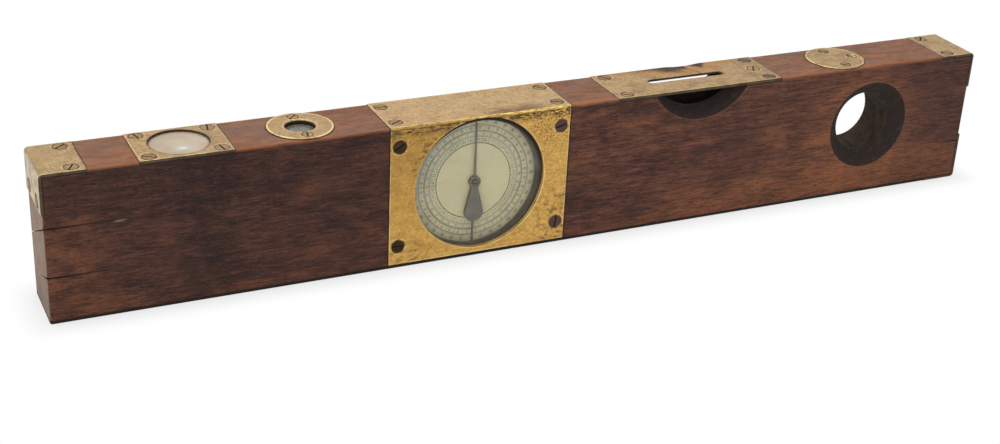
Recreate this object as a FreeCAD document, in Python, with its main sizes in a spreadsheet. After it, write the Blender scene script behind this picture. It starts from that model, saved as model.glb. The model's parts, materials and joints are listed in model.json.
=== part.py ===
import FreeCAD, Part
import math
import os
import re
import types

import Sketcher
from FreeCAD import Placement, Rotation, Vector

# Combined spirit level and grade finder: a hardwood bar with a compass, a bull's-eye level, a
# pendulum dial, a slotted vial plate over a half-moon notch, a plumb opening and brass end tips.
# Millimetres. X runs along the bar, Y from the dial side to the back, Z up. The origin is the
# middle of the resting face.

SIZES = (
    # the wooden bar
    ("bar_length", 608.4, "wooden bar, end to end"),
    ("bar_depth", 39.2, "bar, dial side to back"),
    ("bar_height", 89.2, "bar, resting face to top face"),
    ("bar_edge_radius", 1.1, "worn long edges of the bar"),
    ("bar_foot_radius", 0.8, "worn lower long edges of the bar"),
    ("bar_end_radius", 1.6, "worn upright edges of the bar's ends"),
    ("brass_edge_radius", 0.3, "worn edges of the brass plates"),
    ("fit_gap", 0.1, "clearance round a piece let into another"),
    ("running_gap", 0.05, "clearance of a turning piece on its pin"),
    # screws
    ("screw_head_radius", 4.0, "countersunk plate screw, head"),
    ("screw_shank_radius", 1.7, "plate screw, shank"),
    ("screw_head_depth", 1.5, "plate screw, height of the countersunk head"),
    ("screw_length", 10.0, "plate screw, whole length"),
    ("small_head_radius", 3.2, "small screw, head"),
    ("small_shank_radius", 1.3, "small screw, shank"),
    ("small_head_depth", 1.3, "small screw, height of the countersunk head"),
    ("small_screw_length", 8.0, "small screw, whole length"),
    ("driver_slot_width", 1.0, "slot across every screw head"),
    ("driver_slot_depth", 0.7, "depth of that slot"),
    # brass end tips
    ("tip_thickness", 1.6, "bent brass tip, thickness"),
    ("tip_proud", 0.6, "tip standing out past the end of the wood"),
    ("tip_leg", 25.3, "tip, length along the top or bottom face"),
    ("upper_tip_drop", 23.6, "upper tip, length down the end face"),
    ("lower_tip_rise", 31.2, "lower tip, length up the end face"),
    ("tip_bend_radius", 2.6, "outside radius of the bend"),
    ("tip_face_screw_inset", 18.3, "screws on the leg, from the outer end"),
    ("tip_face_screw_edge", 5.4, "screws on the leg, from the sides"),
    ("tip_end_screw_inset", 18.6, "screws on the end face, from the bend"),
    ("tip_end_screw_spacing", 21.0, "screws on the end face, apart"),
    # compass
    ("compass_place", -0.74, "middle of the compass plate, as a share of half the bar"),
    ("compass_plate_length", 52.3, "compass plate along the bar"),
    ("compass_plate_thickness", 1.6, "compass plate"),
    ("compass_proud", 0.25, "compass plate above the wood"),
    ("compass_window_radius", 16.8, "round window in the compass plate"),
    ("compass_screw_inset", 6.0, "compass plate screws, from its ends"),
    ("compass_screw_edge", 4.7, "compass plate screws, from its sides"),
    ("compass_lip", 1.6, "bowl wall outside the window"),
    ("compass_bowl_depth", 13.0, "bowl, rim to underside"),
    ("compass_bowl_wall", 0.9, "bowl wall and floor"),
    ("compass_glass_thickness", 1.4, "edge of the compass glass"),
    ("compass_glass_dome", 1.0, "rise of the compass glass in its window"),
    ("compass_card_thickness", 0.5, "printed card on the bowl floor"),
    ("compass_pin_radius", 0.6, "upright pin under the needle"),
    ("compass_pin_height", 5.6, "point of the pin above the card"),
    ("needle_length", 29.0, "compass needle, tip to tip"),
    ("needle_width", 4.2, "compass needle across its middle"),
    ("needle_thickness", 0.5, "needle blade"),
    ("needle_cap_radius", 1.9, "brass cap of the needle"),
    ("needle_cap_height", 2.6, "cap of the needle"),
    ("needle_cap_roof", 0.9, "cap above the point of the pin"),
    # bull's-eye level
    ("eye_place", -0.5118, "middle of the bull's-eye ring, as a share of half the bar"),
    ("eye_margin", 0.6, "wood between the ring and the bar's sides"),
    ("eye_thickness", 1.8, "ring"),
    ("eye_proud", 0.7, "ring above the wood"),
    ("eye_window_radius", 8.6, "hole in the ring"),
    ("eye_bevel", 0.8, "bevel round that hole"),
    ("eye_screw_reach", 13.3, "ring screws, from the middle"),
    ("eye_cup_lip", 1.7, "cup wall outside the hole"),
    ("eye_cup_depth", 10.0, "cup, rim to underside"),
    ("eye_cup_wall", 0.9, "cup wall and floor"),
    ("eye_cup_ledge", 0.7, "ledge in the cup that the glass sits on"),
    ("eye_glass_thickness", 1.6, "edge of the domed glass"),
    ("eye_glass_dome", 0.7, "rise of the glass"),
    ("eye_glass_drop", 1.4, "edge of the glass below the ring"),
    ("bubble_radius", 3.1, "bubble across its middle"),
    ("bubble_depth", 1.1, "bubble, top to bottom"),
    # pendulum dial
    ("dial_place", -0.1686, "middle of the dial, as a share of half the bar"),
    ("dial_plate_length", 114.3, "dial plates along the bar"),
    ("dial_top_thickness", 2.2, "plate over the dial"),
    ("dial_top_proud", 0.35, "that plate above the wood"),
    ("dial_front_thickness", 2.5, "front plate, flush with the bar"),
    ("dial_front_foot", 2.4, "wood under the front plate"),
    ("dial_window_foot", 3.2, "brass under the window"),
    ("dial_window_nick", 1.4, "window cut up into the edge of the top plate"),
    ("dial_screw_inset", 5.8, "dial plate screws, from the ends"),
    ("dial_top_screw_edge", 7.5, "top plate screws, from the sides"),
    ("dial_front_screw_drop", 12.1, "upper front screws, below the bar's top"),
    ("dial_front_screw_rise", 14.0, "lower front screws, above the base"),
    ("dial_wood_below", 2.6, "wood under the round recess"),
    ("dial_wood_above", 0.5, "wood over the round recess"),
    ("dial_case_wall", 0.8, "wall of the dial case"),
    ("dial_case_ledge", 0.7, "ledge behind the dial glass"),
    ("dial_case_floor", 1.2, "floor of the dial case"),
    ("dial_glass_thickness", 1.8, "dial glass"),
    ("dial_card_depth", 10.0, "face of the dial card, from the front of the bar"),
    ("dial_card_thickness", 0.6, "dial card"),
    ("pivot_journal_radius", 1.5, "bearing part of the pointer's screw"),
    ("pivot_journal_length", 3.4, "bearing part, length"),
    ("pivot_head_radius", 2.1, "head of the pointer's screw"),
    ("pivot_head_height", 1.1, "head of the pointer's screw"),
    ("pivot_thread_radius", 1.1, "threaded part, through card and case"),
    ("pivot_thread_length", 6.0, "threaded part"),
    ("pointer_hub_radius", 3.6, "hub of the pointer"),
    ("pointer_hub_length", 2.6, "hub of the pointer"),
    ("pointer_thickness", 0.9, "arms of the pointer"),
    ("pointer_bob_thickness", 2.2, "pear-shaped weight"),
    ("pointer_tip_gap", 3.0, "upper tip to the inside of the case"),
    ("pointer_tail_gap", 1.7, "lower tip to the inside of the case"),
    ("pointer_tip_width", 0.7, "arms at their tips"),
    ("pointer_root_width", 1.4, "upper arm at the hub"),
    ("pointer_tail_width", 1.0, "lower arm at the weight"),
    ("bob_radius", 5.9, "rounded end of the weight"),
    ("bob_reach", 19.9, "middle of that round, below the pivot"),
    ("bob_neck_width", 4.7, "neck of the weight"),
    ("bob_neck_reach", 4.5, "lower end of the neck, below the pivot"),
    # slotted vial plate
    ("vial_place", 0.3161, "middle of the vial plate, as a share of half the bar"),
    ("vial_plate_length", 115.5, "vial plate along the bar"),
    ("vial_plate_thickness", 1.8, "vial plate"),
    ("vial_plate_proud", 0.25, "vial plate above the wood"),
    ("vial_screw_left_inset", 7.6, "left screws, from the plate's end"),
    ("vial_screw_right_inset", 6.6, "right screws, from the plate's end"),
    ("vial_screw_edge", 5.0, "vial plate screws, from the sides"),
    ("notch_shift", 0.5, "middle of the notch, past the middle of the plate"),
    ("reading_slot_shift", -0.7, "middle of the reading slot, past the middle of the plate"),
    ("reading_slot_length", 53.4, "reading slot"),
    ("reading_slot_width", 5.4, "reading slot"),
    ("reading_slot_bevel", 0.9, "bevel under the slot's edges"),
    ("dent_shift", 7.5, "middle of the dent in the rear edge, past the middle of the plate"),
    ("dent_length", 25.0, "dent along the edge"),
    ("dent_reach", 12.0, "dent in from the edge"),
    ("dent_depth", 0.8, "dent at the edge"),
    ("mortise_margin", 4.9, "wood under each end of the plate, past the mortise"),
    ("mortise_width", 18.0, "mortise across the bar"),
    ("mortise_depth", 20.5, "mortise below the plate"),
    ("adjuster_inset", 9.1, "vial adjusting screw, from the plate's end"),
    ("adjuster_length", 15.0, "vial adjusting screw"),
    # dished openings
    ("dish_depth", 8.2, "dished mouths, in from the sides"),
    ("notch_radius", 38.0, "notch at the side of the bar"),
    ("notch_throat_radius", 31.8, "notch inside its dished mouth"),
    ("notch_centre_rise", 17.6, "middle of the notch's circle, above the bar"),
    ("bore_place", 0.7439, "middle of the plumb opening, as a share of half the bar"),
    ("bore_z", 48.0, "middle of the plumb opening"),
    ("bore_radius", 19.6, "plumb opening inside its mouths"),
    ("bore_mouth_radius", 29.5, "plumb opening at the sides of the bar"),
    # plumb cover
    ("cover_shift", -19.5, "middle of the round plumb cover, past the middle of the opening"),
    ("cover_margin", 0.5, "wood between the cover and the bar's sides"),
    ("cover_thickness", 1.8, "plumb cover"),
    ("cover_proud", 0.5, "plumb cover above the wood"),
    ("cover_screw_reach", 12.4, "cover screws, from the middle"),
    ("cover_adjuster_reach", 13.2, "plumb adjusting screw, from the middle"),
    ("well_radius", 7.0, "vial well under the cover"),
    ("well_depth", 29.0, "vial well"),
    # shrinkage cracks at the ends
    ("crack_width", 0.9, "cracks where they open"),
    ("crack_depth", 1.6, "cracks into the wood"),
    ("crack_high_z", 57.4, "upper crack at the left front edge"),
    ("crack_high_length", 27.5, "upper crack along the front"),
    ("crack_high_fall", 19.0, "upper crack, fall across the end"),
    ("crack_low_z", 28.3, "lower crack at the left front edge"),
    ("crack_low_length", 28.6, "lower crack along the front"),
    ("crack_low_fall", 6.7, "lower crack, fall across half the end"),
    ("crack_right_z", 27.1, "crack at the right front edge"),
    ("crack_right_length", 21.0, "that crack along the front"),
)

# Lengths that follow from those above, as expressions on them.
DERIVED = {
    "half_length": "bar_length / 2",
    "half_depth": "bar_depth / 2",
    "tip_end": "half_length + tip_proud",
    "compass_x": "half_length * compass_place",
    "eye_x": "half_length * eye_place",
    "dial_x": "half_length * dial_place",
    "vial_plate_x": "half_length * vial_place",
    "notch_x": "vial_plate_x + notch_shift",
    "reading_slot_x": "vial_plate_x + reading_slot_shift",
    "dent_x": "vial_plate_x + dent_shift",
    "adjuster_x": "vial_plate_x + vial_plate_length / 2 - adjuster_inset",
    "bore_x": "half_length * bore_place",
    "cover_x": "bore_x + cover_shift",
    "screw_hole": "screw_shank_radius + fit_gap",
    "small_hole": "small_shank_radius + fit_gap",
    "compass_underside": "bar_height + compass_proud - compass_plate_thickness",
    "compass_bowl_radius": "compass_window_radius + compass_lip",
    "compass_glass_radius": "compass_bowl_radius - compass_bowl_wall - fit_gap",
    "compass_card_top": "compass_underside - compass_bowl_depth + compass_bowl_wall + compass_card_thickness",
    "compass_point": "compass_card_top + compass_pin_height",
    "compass_screw_x": "compass_plate_length / 2 - compass_screw_inset",
    "compass_screw_y": "half_depth - compass_screw_edge",
    "eye_radius": "half_depth - eye_margin",
    "eye_underside": "bar_height + eye_proud - eye_thickness",
    "eye_cup_radius": "eye_window_radius + eye_cup_lip",
    "eye_cup_bore": "eye_cup_radius - eye_cup_wall",
    "eye_cup_well": "eye_cup_bore - eye_cup_ledge",
    "eye_cup_floor": "eye_underside - eye_cup_depth + eye_cup_wall",
    "dial_top_underside": "bar_height + dial_top_proud - dial_top_thickness",
    "dial_window_low": "dial_front_foot + dial_window_foot",
    "dial_window_high": "dial_top_underside + dial_window_nick",
    "dial_window_radius": "(dial_window_high - dial_window_low) / 2",
    "dial_window_z": "(dial_window_high + dial_window_low) / 2",
    "dial_recess_radius": "(dial_top_underside - dial_wood_above - dial_wood_below) / 2",
    "dial_z": "dial_wood_below + dial_recess_radius",
    "dial_case_radius": "dial_recess_radius - fit_gap",
    "dial_case_mouth": "dial_case_radius - dial_case_wall",
    "dial_case_bore": "dial_case_mouth - dial_case_ledge",
    "dial_plate_back": "dial_front_thickness - half_depth",
    "dial_card_face": "dial_card_depth - half_depth",
    "dial_card_back": "dial_card_face + dial_card_thickness",
    "dial_case_back": "dial_card_back + dial_case_floor",
    "dial_screw_x": "dial_plate_length / 2 - dial_screw_inset",
    "pointer_middle": "dial_card_face - pivot_journal_length / 2",
    "vial_plate_underside": "bar_height + vial_plate_proud - vial_plate_thickness",
    "vial_screw_y": "half_depth - vial_screw_edge",
    "vial_screw_left": "vial_plate_x - vial_plate_length / 2 + vial_screw_left_inset",
    "vial_screw_right": "vial_plate_x + vial_plate_length / 2 - vial_screw_right_inset",
    "notch_z": "bar_height + notch_centre_rise",
    "cover_radius": "half_depth - cover_margin",
    "cover_underside": "bar_height + cover_proud - cover_thickness",
    "tip_face_screw_x": "tip_end - tip_face_screw_inset",
    "tip_face_screw_y": "half_depth - tip_face_screw_edge",
    "upper_tip_screw_z": "bar_height - tip_end_screw_inset",
}

doc = FreeCAD.newDocument("combined_level")
sheet = doc.addObject("Spreadsheet::Sheet", "sizes")
for row, (alias, number, note) in enumerate(SIZES, start=1):
    sheet.set(f"A{row}", note)
    sheet.set(f"B{row}", str(number))
    sheet.setAlias(f"B{row}", alias)

WORDS = {alias for alias, _, _ in SIZES} | set(DERIVED)


def bound(text):
    """Point each size that the text names at its cell of the sheet."""
    return re.sub(r"[a-z][a-z_]+", lambda word: f"sizes.{word[0]}" if word[0] in WORDS else word[0], text)


for row, (alias, text) in enumerate(DERIVED.items(), start=len(SIZES) + 2):
    sheet.set(f"A{row}", "worked out")
    sheet.set(f"B{row}", "=" + text)
    sheet.setAlias(f"B{row}", alias)
doc.recompute()
S = types.SimpleNamespace(**{alias: float(sheet.get(alias)) for alias in WORDS})


def bind(thing, prop, text):
    thing.setExpression(prop, bound(text))


def body(name):
    made = doc.addObject("PartDesign::Body", name)
    made.Label = name
    return made


# Each face of the bar: the origin plane that is parallel to it, how a point of the part reads in
# that plane's own x, y and normal, and whether the face looks against that normal.
FACES = {
    "top": ("XY_Plane", lambda x, y, z: (x, y, z), False),
    "bottom": ("XY_Plane", lambda x, y, z: (x, y, z), True),
    "front": ("XZ_Plane", lambda x, y, z: (x, z, f"-({y})"), False),
    "back": ("XZ_Plane", lambda x, y, z: (x, z, f"-({y})"), True),
    "right": ("YZ_Plane", lambda x, y, z: (y, z, x), False),
    "left": ("YZ_Plane", lambda x, y, z: (y, z, x), True),
}


def sketch_on(part, name, face, at):
    """A sketch parallel to a face of the bar, with its own origin at the point given."""
    role, local, _ = FACES[face]
    made = part.newObject("Sketcher::SketchObject", f"{part.Name}_{name}_outline")
    plane = next(item for item in part.Origin.OriginFeatures if item.Role == role)
    made.AttachmentSupport = [(plane, "")]
    made.MapMode = "FlatFace"
    for axis, text in zip("xyz", local(*at)):
        bind(made, f"AttachmentOffset.Base.{axis}", text)
    return made


def datum(sketch, kind, where, text):
    """One driven size of a sketch, bound to the sheet."""
    index = sketch.addConstraint(Sketcher.Constraint(kind, *where, 1.0))
    sketch.renameConstraint(index, f"size_{index}")
    bind(sketch, f"Constraints.size_{index}", text)


def polygon(*points):
    """A closed outline through the points, each one placed by its own two distances."""
    def draw(sketch):
        first = sketch.GeometryCount
        count = len(points)
        for turn in range(count):
            start, end = (Vector(math.cos(a), math.sin(a), 0)
                          for a in (math.tau * turn / count, math.tau * (turn + 1) / count))
            sketch.addGeometry(Part.LineSegment(start, end))
        for turn in range(count):
            after = first + (turn + 1) % count
            sketch.addConstraint(Sketcher.Constraint("Coincident", first + turn, 2, after, 1))
        for line, (x, y) in enumerate(points, start=first):
            datum(sketch, "DistanceX", (-1, 1, line, 1), x)
            datum(sketch, "DistanceY", (-1, 1, line, 1), y)
    return draw


def rectangle(width, height, x="0", y="0"):
    left, right = f"{x} - ({width}) / 2", f"{x} + ({width}) / 2"
    low, high = f"{y} - ({height}) / 2", f"{y} + ({height}) / 2"
    return polygon((left, low), (right, low), (right, high), (left, high))


def circle(radius, x="0", y="0"):
    def draw(sketch):
        index = sketch.addGeometry(Part.Circle(Vector(0, 0, 0), Vector(0, 0, 1), 1.0))
        datum(sketch, "DistanceX", (-1, 1, index, 3), x)
        datum(sketch, "DistanceY", (-1, 1, index, 3), y)
        datum(sketch, "Radius", (index,), radius)
    return draw


def extrude(kind, part, name, face, at, length, *shapes):
    outline = sketch_on(part, name, face, at)
    for draw in shapes:
        draw(outline)
    made = part.newObject(kind, f"{part.Name}_{name}")
    made.Profile = outline
    made.Reversed = FACES[face][2]
    bind(made, "Length", length)
    return made


def pad(part, name, face, at, length, *shapes):
    """Material from the sketch outwards, the way the face looks."""
    return extrude("PartDesign::Pad", part, name, face, at, length, *shapes)


def pocket(part, name, face, at, length, *shapes):
    """A cut from the sketch inwards, against the way the face looks."""
    return extrude("PartDesign::Pocket", part, name, face, at, length, *shapes)


def turned(kind, part, name, along, at, *points):
    """A profile turned once about an upright axis, or about one that runs front to back.

    Points are (radius, height) for an upright axis and (depth, radius) for the other.
    """
    outline = sketch_on(part, name, "front" if along == "up" else "right", at)
    polygon(*points)(outline)
    made = part.newObject(kind, f"{part.Name}_{name}")
    made.Profile = outline
    made.ReferenceAxis = (outline, ["V_Axis" if along == "up" else "H_Axis"])
    made.Angle = 360
    return made


def revolve(part, name, along, at, *points):
    return turned("PartDesign::Revolution", part, name, along, at, *points)


def groove(part, name, along, at, *points):
    return turned("PartDesign::Groove", part, name, along, at, *points)


def screw_holes(part, name, face, at, places, size="screw"):
    """Countersunk holes through a brass piece, at places in the face's own two directions."""
    outline = sketch_on(part, name, face, at)
    for x, y in places:
        circle(f"{size}_hole", x, y)(outline)
    doc.recompute()
    made = part.newObject("PartDesign::Hole", f"{part.Name}_{name}")
    made.Profile = outline
    made.Reversed = FACES[face][2]
    made.DepthType = "ThroughAll"
    made.HoleCutType = "Countersink"
    made.HoleCutCustomValues = True
    bind(made, "Diameter", f"2 * {size}_hole")
    bind(made, "HoleCutDiameter", f"2 * ({size}_head_radius + fit_gap)")
    bind(made, "HoleCutCountersinkAngle",
         f"2 * atan(({size}_head_radius - {size}_shank_radius) / {size}_head_depth)")
    return made


def pilot_holes(part, name, face, at, places, size="screw"):
    """Holes in the wood for the shanks and the lower part of the heads."""
    length = "screw_length" if size == "screw" else "small_screw_length"
    pocket(part, name, face, at, f"{length} + fit_gap", *(circle(f"{size}_hole", x, y) for x, y in places))


def dress_edges(kind, part, name, size, chosen):
    """Fillet or chamfer the edges of the body so far that the test picks."""
    doc.recompute()
    base = part.Tip
    edges = [f"Edge{n}" for n, edge in enumerate(base.Shape.Edges, start=1) if chosen(edge)]
    made = part.newObject(f"PartDesign::{kind}", f"{part.Name}_{name}")
    made.Base = (base, edges)
    bind(made, "Radius" if kind == "Fillet" else "Size", size)


def round_edges(part, name, radius, chosen):
    dress_edges("Fillet", part, name, radius, chosen)


def bevel_edges(part, name, size, chosen):
    dress_edges("Chamfer", part, name, size, chosen)


def wear_rim(part, level):
    """Soften every edge round the top of a brass piece."""
    round_edges(part, "worn_rim", "brass_edge_radius", lambda edge: lies_at(edge, "Z", level))


def meets(edge, axis, value):
    """Whether the edge reaches a plane across the axis."""
    box = edge.BoundBox
    return min(abs(getattr(box, axis + "Min") - value), abs(getattr(box, axis + "Max") - value)) < 1e-6


def lies_at(edge, axis, value):
    """Whether the edge lies in a plane across the axis."""
    box = edge.BoundBox
    return max(abs(getattr(box, axis + "Min") - value), abs(getattr(box, axis + "Max") - value)) < 1e-6


def runs_along(edge, axis):
    box = edge.BoundBox
    spans = {"x": box.XLength, "y": box.YLength, "z": box.ZLength}
    return spans.pop(axis) > 1e-6 and max(spans.values()) < 1e-6


# Where the screws stand, in each face's own two directions.
FOUR_CORNERS = ((-1, -1), (-1, 1), (1, -1), (1, 1))


def corners(x, y):
    return [(f"{sx} * {x}", f"{sy} * {y}") for sx, sy in FOUR_CORNERS]


COMPASS_PLACES = corners("compass_screw_x", "compass_screw_y")
EYE_PLACES = [("0", "eye_screw_reach"), ("0", "-eye_screw_reach")]
DIAL_TOP_PLACES = corners("dial_screw_x", "(half_depth - dial_top_screw_edge)")
DIAL_FRONT_PLACES = [(f"{side} * dial_screw_x", height) for side in (-1, 1)
                     for height in ("bar_height - dial_front_screw_drop", "dial_front_screw_rise")]
VIAL_PLACES = [(x, f"{side} * vial_screw_y") for x in ("vial_screw_left", "vial_screw_right")
               for side in (-1, 1)]
COVER_PLACES = [("0", "cover_screw_reach"), ("0", "-cover_screw_reach")]
TIP_FACE_PLACES = [("0", "tip_face_screw_y"), ("0", "-tip_face_screw_y")]
TIP_END_PLACES = [("tip_end_screw_spacing / 2", "0"), ("-tip_end_screw_spacing / 2", "0")]

# The three tips that are left: which end, and whether it wraps over the top or under the bottom.
TIPS = {
    "tip_top_left": ("left", "top"),
    "tip_top_right": ("right", "top"),
    "tip_bottom_right": ("right", "bottom"),
}


def tip_frame(end, face):
    """Side of the end, heights of the leg's outer face and of the end screws, length on the end."""
    side = -1 if end == "left" else 1
    if face == "top":
        return side, "bar_height", "upper_tip_screw_z", "upper_tip_drop", -1
    return side, "0", "tip_end_screw_inset", "lower_tip_rise", 1


def build_bar():
    """The hardwood bar, with everything that is cut into it."""
    bar = body("level_body")
    pad(bar, "blank", "top", ("0", "0", "0"), "bar_height", rectangle("bar_length", "bar_depth"))
    round_edges(bar, "worn_ends", "bar_end_radius", lambda edge: runs_along(edge, "z"))
    round_edges(bar, "worn_top", "bar_edge_radius",
                lambda edge: runs_along(edge, "x") and edge.BoundBox.ZMin > S.bar_height / 2)
    round_edges(bar, "worn_foot", "bar_foot_radius",
                lambda edge: runs_along(edge, "x") and edge.BoundBox.ZMax < S.bar_height / 2)

    # compass: rebate for the plate, round hole for the bowl
    pocket(bar, "compass_rebate", "top", ("compass_x", "0", "bar_height"),
           "bar_height - compass_underside", rectangle("compass_plate_length", "bar_depth"))
    pocket(bar, "compass_hole", "top", ("compass_x", "0", "compass_underside"),
           "compass_bowl_depth", circle("compass_bowl_radius + fit_gap"))
    pilot_holes(bar, "compass_pilots", "top", ("compass_x", "0", "bar_height + compass_proud"), COMPASS_PLACES)

    # bull's-eye: round rebate and hole
    pocket(bar, "eye_rebate", "top", ("eye_x", "0", "bar_height"),
           "bar_height - eye_underside", circle("eye_radius + fit_gap"))
    pocket(bar, "eye_hole", "top", ("eye_x", "0", "eye_underside"),
           "eye_cup_depth", circle("eye_cup_radius + fit_gap"))
    pilot_holes(bar, "eye_pilots", "top", ("eye_x", "0", "bar_height + eye_proud"), EYE_PLACES, "small")

    # dial: rebates for the two plates, round recess for the case, hole for the pivot's thread
    pocket(bar, "dial_top_rebate", "top", ("dial_x", "0", "bar_height"),
           "bar_height - dial_top_underside", rectangle("dial_plate_length", "bar_depth"))
    pocket(bar, "dial_front_rebate", "front", ("dial_x", "-half_depth", "0"), "dial_front_thickness",
           rectangle("dial_plate_length", "bar_height - dial_front_foot", "0",
                     "(bar_height + dial_front_foot) / 2"))
    pocket(bar, "dial_recess", "front", ("dial_x", "dial_plate_back", "dial_z"),
           "dial_case_back - dial_plate_back", circle("dial_recess_radius"))
    pocket(bar, "pivot_hole", "front", ("dial_x", "dial_case_back", "dial_z"),
           "pivot_thread_length", circle("pivot_thread_radius + fit_gap"))
    pilot_holes(bar, "dial_top_pilots", "top", ("dial_x", "0", "bar_height + dial_top_proud"), DIAL_TOP_PLACES)
    pilot_holes(bar, "dial_front_pilots", "front", ("dial_x", "-half_depth", "0"), DIAL_FRONT_PLACES)

    # vial plate: rebate, mortise below it, and the half-moon notch dished from both sides
    pocket(bar, "vial_rebate", "top", ("vial_plate_x", "0", "bar_height"),
           "bar_height - vial_plate_underside", rectangle("vial_plate_length", "bar_depth"))
    pocket(bar, "vial_mortise", "top", ("vial_plate_x", "0", "vial_plate_underside"),
           "mortise_depth", rectangle("vial_plate_length - 2 * mortise_margin", "mortise_width"))
    dished_opening(bar, "half_moon_notch", ("notch_x", "0", "notch_z"), "notch_radius", "notch_throat_radius")
    pilot_holes(bar, "vial_pilots", "top", ("0", "0", "bar_height + vial_plate_proud"), VIAL_PLACES)

    # plumb opening, and the covered well that drops into it
    dished_opening(bar, "plumb_opening", ("bore_x", "0", "bore_z"), "bore_mouth_radius", "bore_radius")
    pocket(bar, "cover_rebate", "top", ("cover_x", "0", "bar_height"),
           "bar_height - cover_underside", circle("cover_radius + fit_gap"))
    pocket(bar, "vial_well", "top", ("cover_x", "0", "cover_underside"), "well_depth", circle("well_radius"))
    pilot_holes(bar, "cover_pilots", "top", ("cover_x", "0", "bar_height + cover_proud"),
                COVER_PLACES + [("cover_adjuster_reach", "0")], "small")

    for name, (end, face) in TIPS.items():
        side, level, end_screw_z, on_end, inward = tip_frame(end, face)
        leg = "tip_leg - tip_proud"
        pocket(bar, f"{name}_leg_rebate", face, (f"{side} * half_length", "0", level), "tip_thickness",
               rectangle(f"2 * ({leg})", "bar_depth"))
        pocket(bar, f"{name}_end_rebate", end, (f"{side} * half_length", "0", level),
               "tip_thickness - tip_proud", rectangle("bar_depth", f"2 * ({on_end})"))
        pilot_holes(bar, f"{name}_leg_pilots", face, (f"{side} * tip_face_screw_x", "0", level), TIP_FACE_PLACES)
        pilot_holes(bar, f"{name}_end_pilots", end, (f"{side} * tip_end", "0", end_screw_z), TIP_END_PLACES)

    cut_cracks(bar)
    return bar


def dished_opening(bar, name, at, mouth, throat):
    """A round opening right through the bar, with a dished mouth on each side."""
    past = "half_depth + fit_gap"
    inner = "half_depth - dish_depth"
    groove(bar, name, "through", at,
           (f"-({past})", "0"), (f"-({past})", mouth), ("-half_depth", mouth), (f"-({inner})", throat),
           (inner, throat), ("half_depth", mouth), (past, mouth), (past, "0"))


def cut_cracks(bar):
    """Shrinkage cracks: wedges along the front, and narrow cuts across the left end."""
    half = "crack_width / 2"

    def along_front(name, side, z, length):
        pocket(bar, name, "front", (f"{side} * half_length", "-half_depth", z), "crack_depth",
               polygon((f"{side} * fit_gap", half), (f"{side} * fit_gap", f"-{half}"),
                       (f"{-side} * {length}", "-crack_width")))

    def across_end(name, z, reach, fall):
        pocket(bar, name, "left", ("-half_length", "-half_depth", z), "crack_depth",
               polygon(("-fit_gap", half), ("-fit_gap", f"-{half}"), (reach, f"-{fall} - {half} / 2"),
                       (reach, f"-{fall}")))

    along_front("crack_high_front", -1, "crack_high_z", "crack_high_length")
    across_end("crack_high_end", "crack_high_z", "bar_depth + fit_gap", "crack_high_fall")
    along_front("crack_low_front", -1, "crack_low_z", "crack_low_length")
    across_end("crack_low_end", "crack_low_z", "half_depth", "crack_low_fall")
    along_front("crack_right_front", 1, "crack_right_z", "crack_right_length")


def build_tip(name, end, face):
    """A brass strip bent over one corner of the bar."""
    tip = body(name)
    side, level, end_screw_z, on_end, inward = tip_frame(end, face)
    out, back = f"{side} * tip_end", f"{side} * (tip_end - tip_thickness)"
    leg = f"{side} * (tip_end - tip_leg)"
    inner, far = f"{inward} * tip_thickness", f"{inward} * {on_end}"
    pad(tip, "strip", "front", ("0", "half_depth", level), "bar_depth",
        polygon((leg, "0"), (out, "0"), (out, far), (back, far), (back, inner), (leg, inner)))
    corner = side * S.tip_end
    height = S.bar_height if face == "top" else 0
    round_edges(tip, "bend", "tip_bend_radius",
                lambda edge: runs_along(edge, "y") and meets(edge, "X", corner) and meets(edge, "Z", height))
    round_edges(tip, "worn_sides", "brass_edge_radius",
                lambda edge: not runs_along(edge, "y") and edge.Length > 1.2 * S.tip_thickness
                and (meets(edge, "X", corner) or meets(edge, "Z", height)))
    screw_holes(tip, "leg_holes", face, (f"{side} * tip_face_screw_x", "0", level), TIP_FACE_PLACES)
    screw_holes(tip, "end_holes", end, (out, "0", end_screw_z), TIP_END_PLACES)


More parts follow.
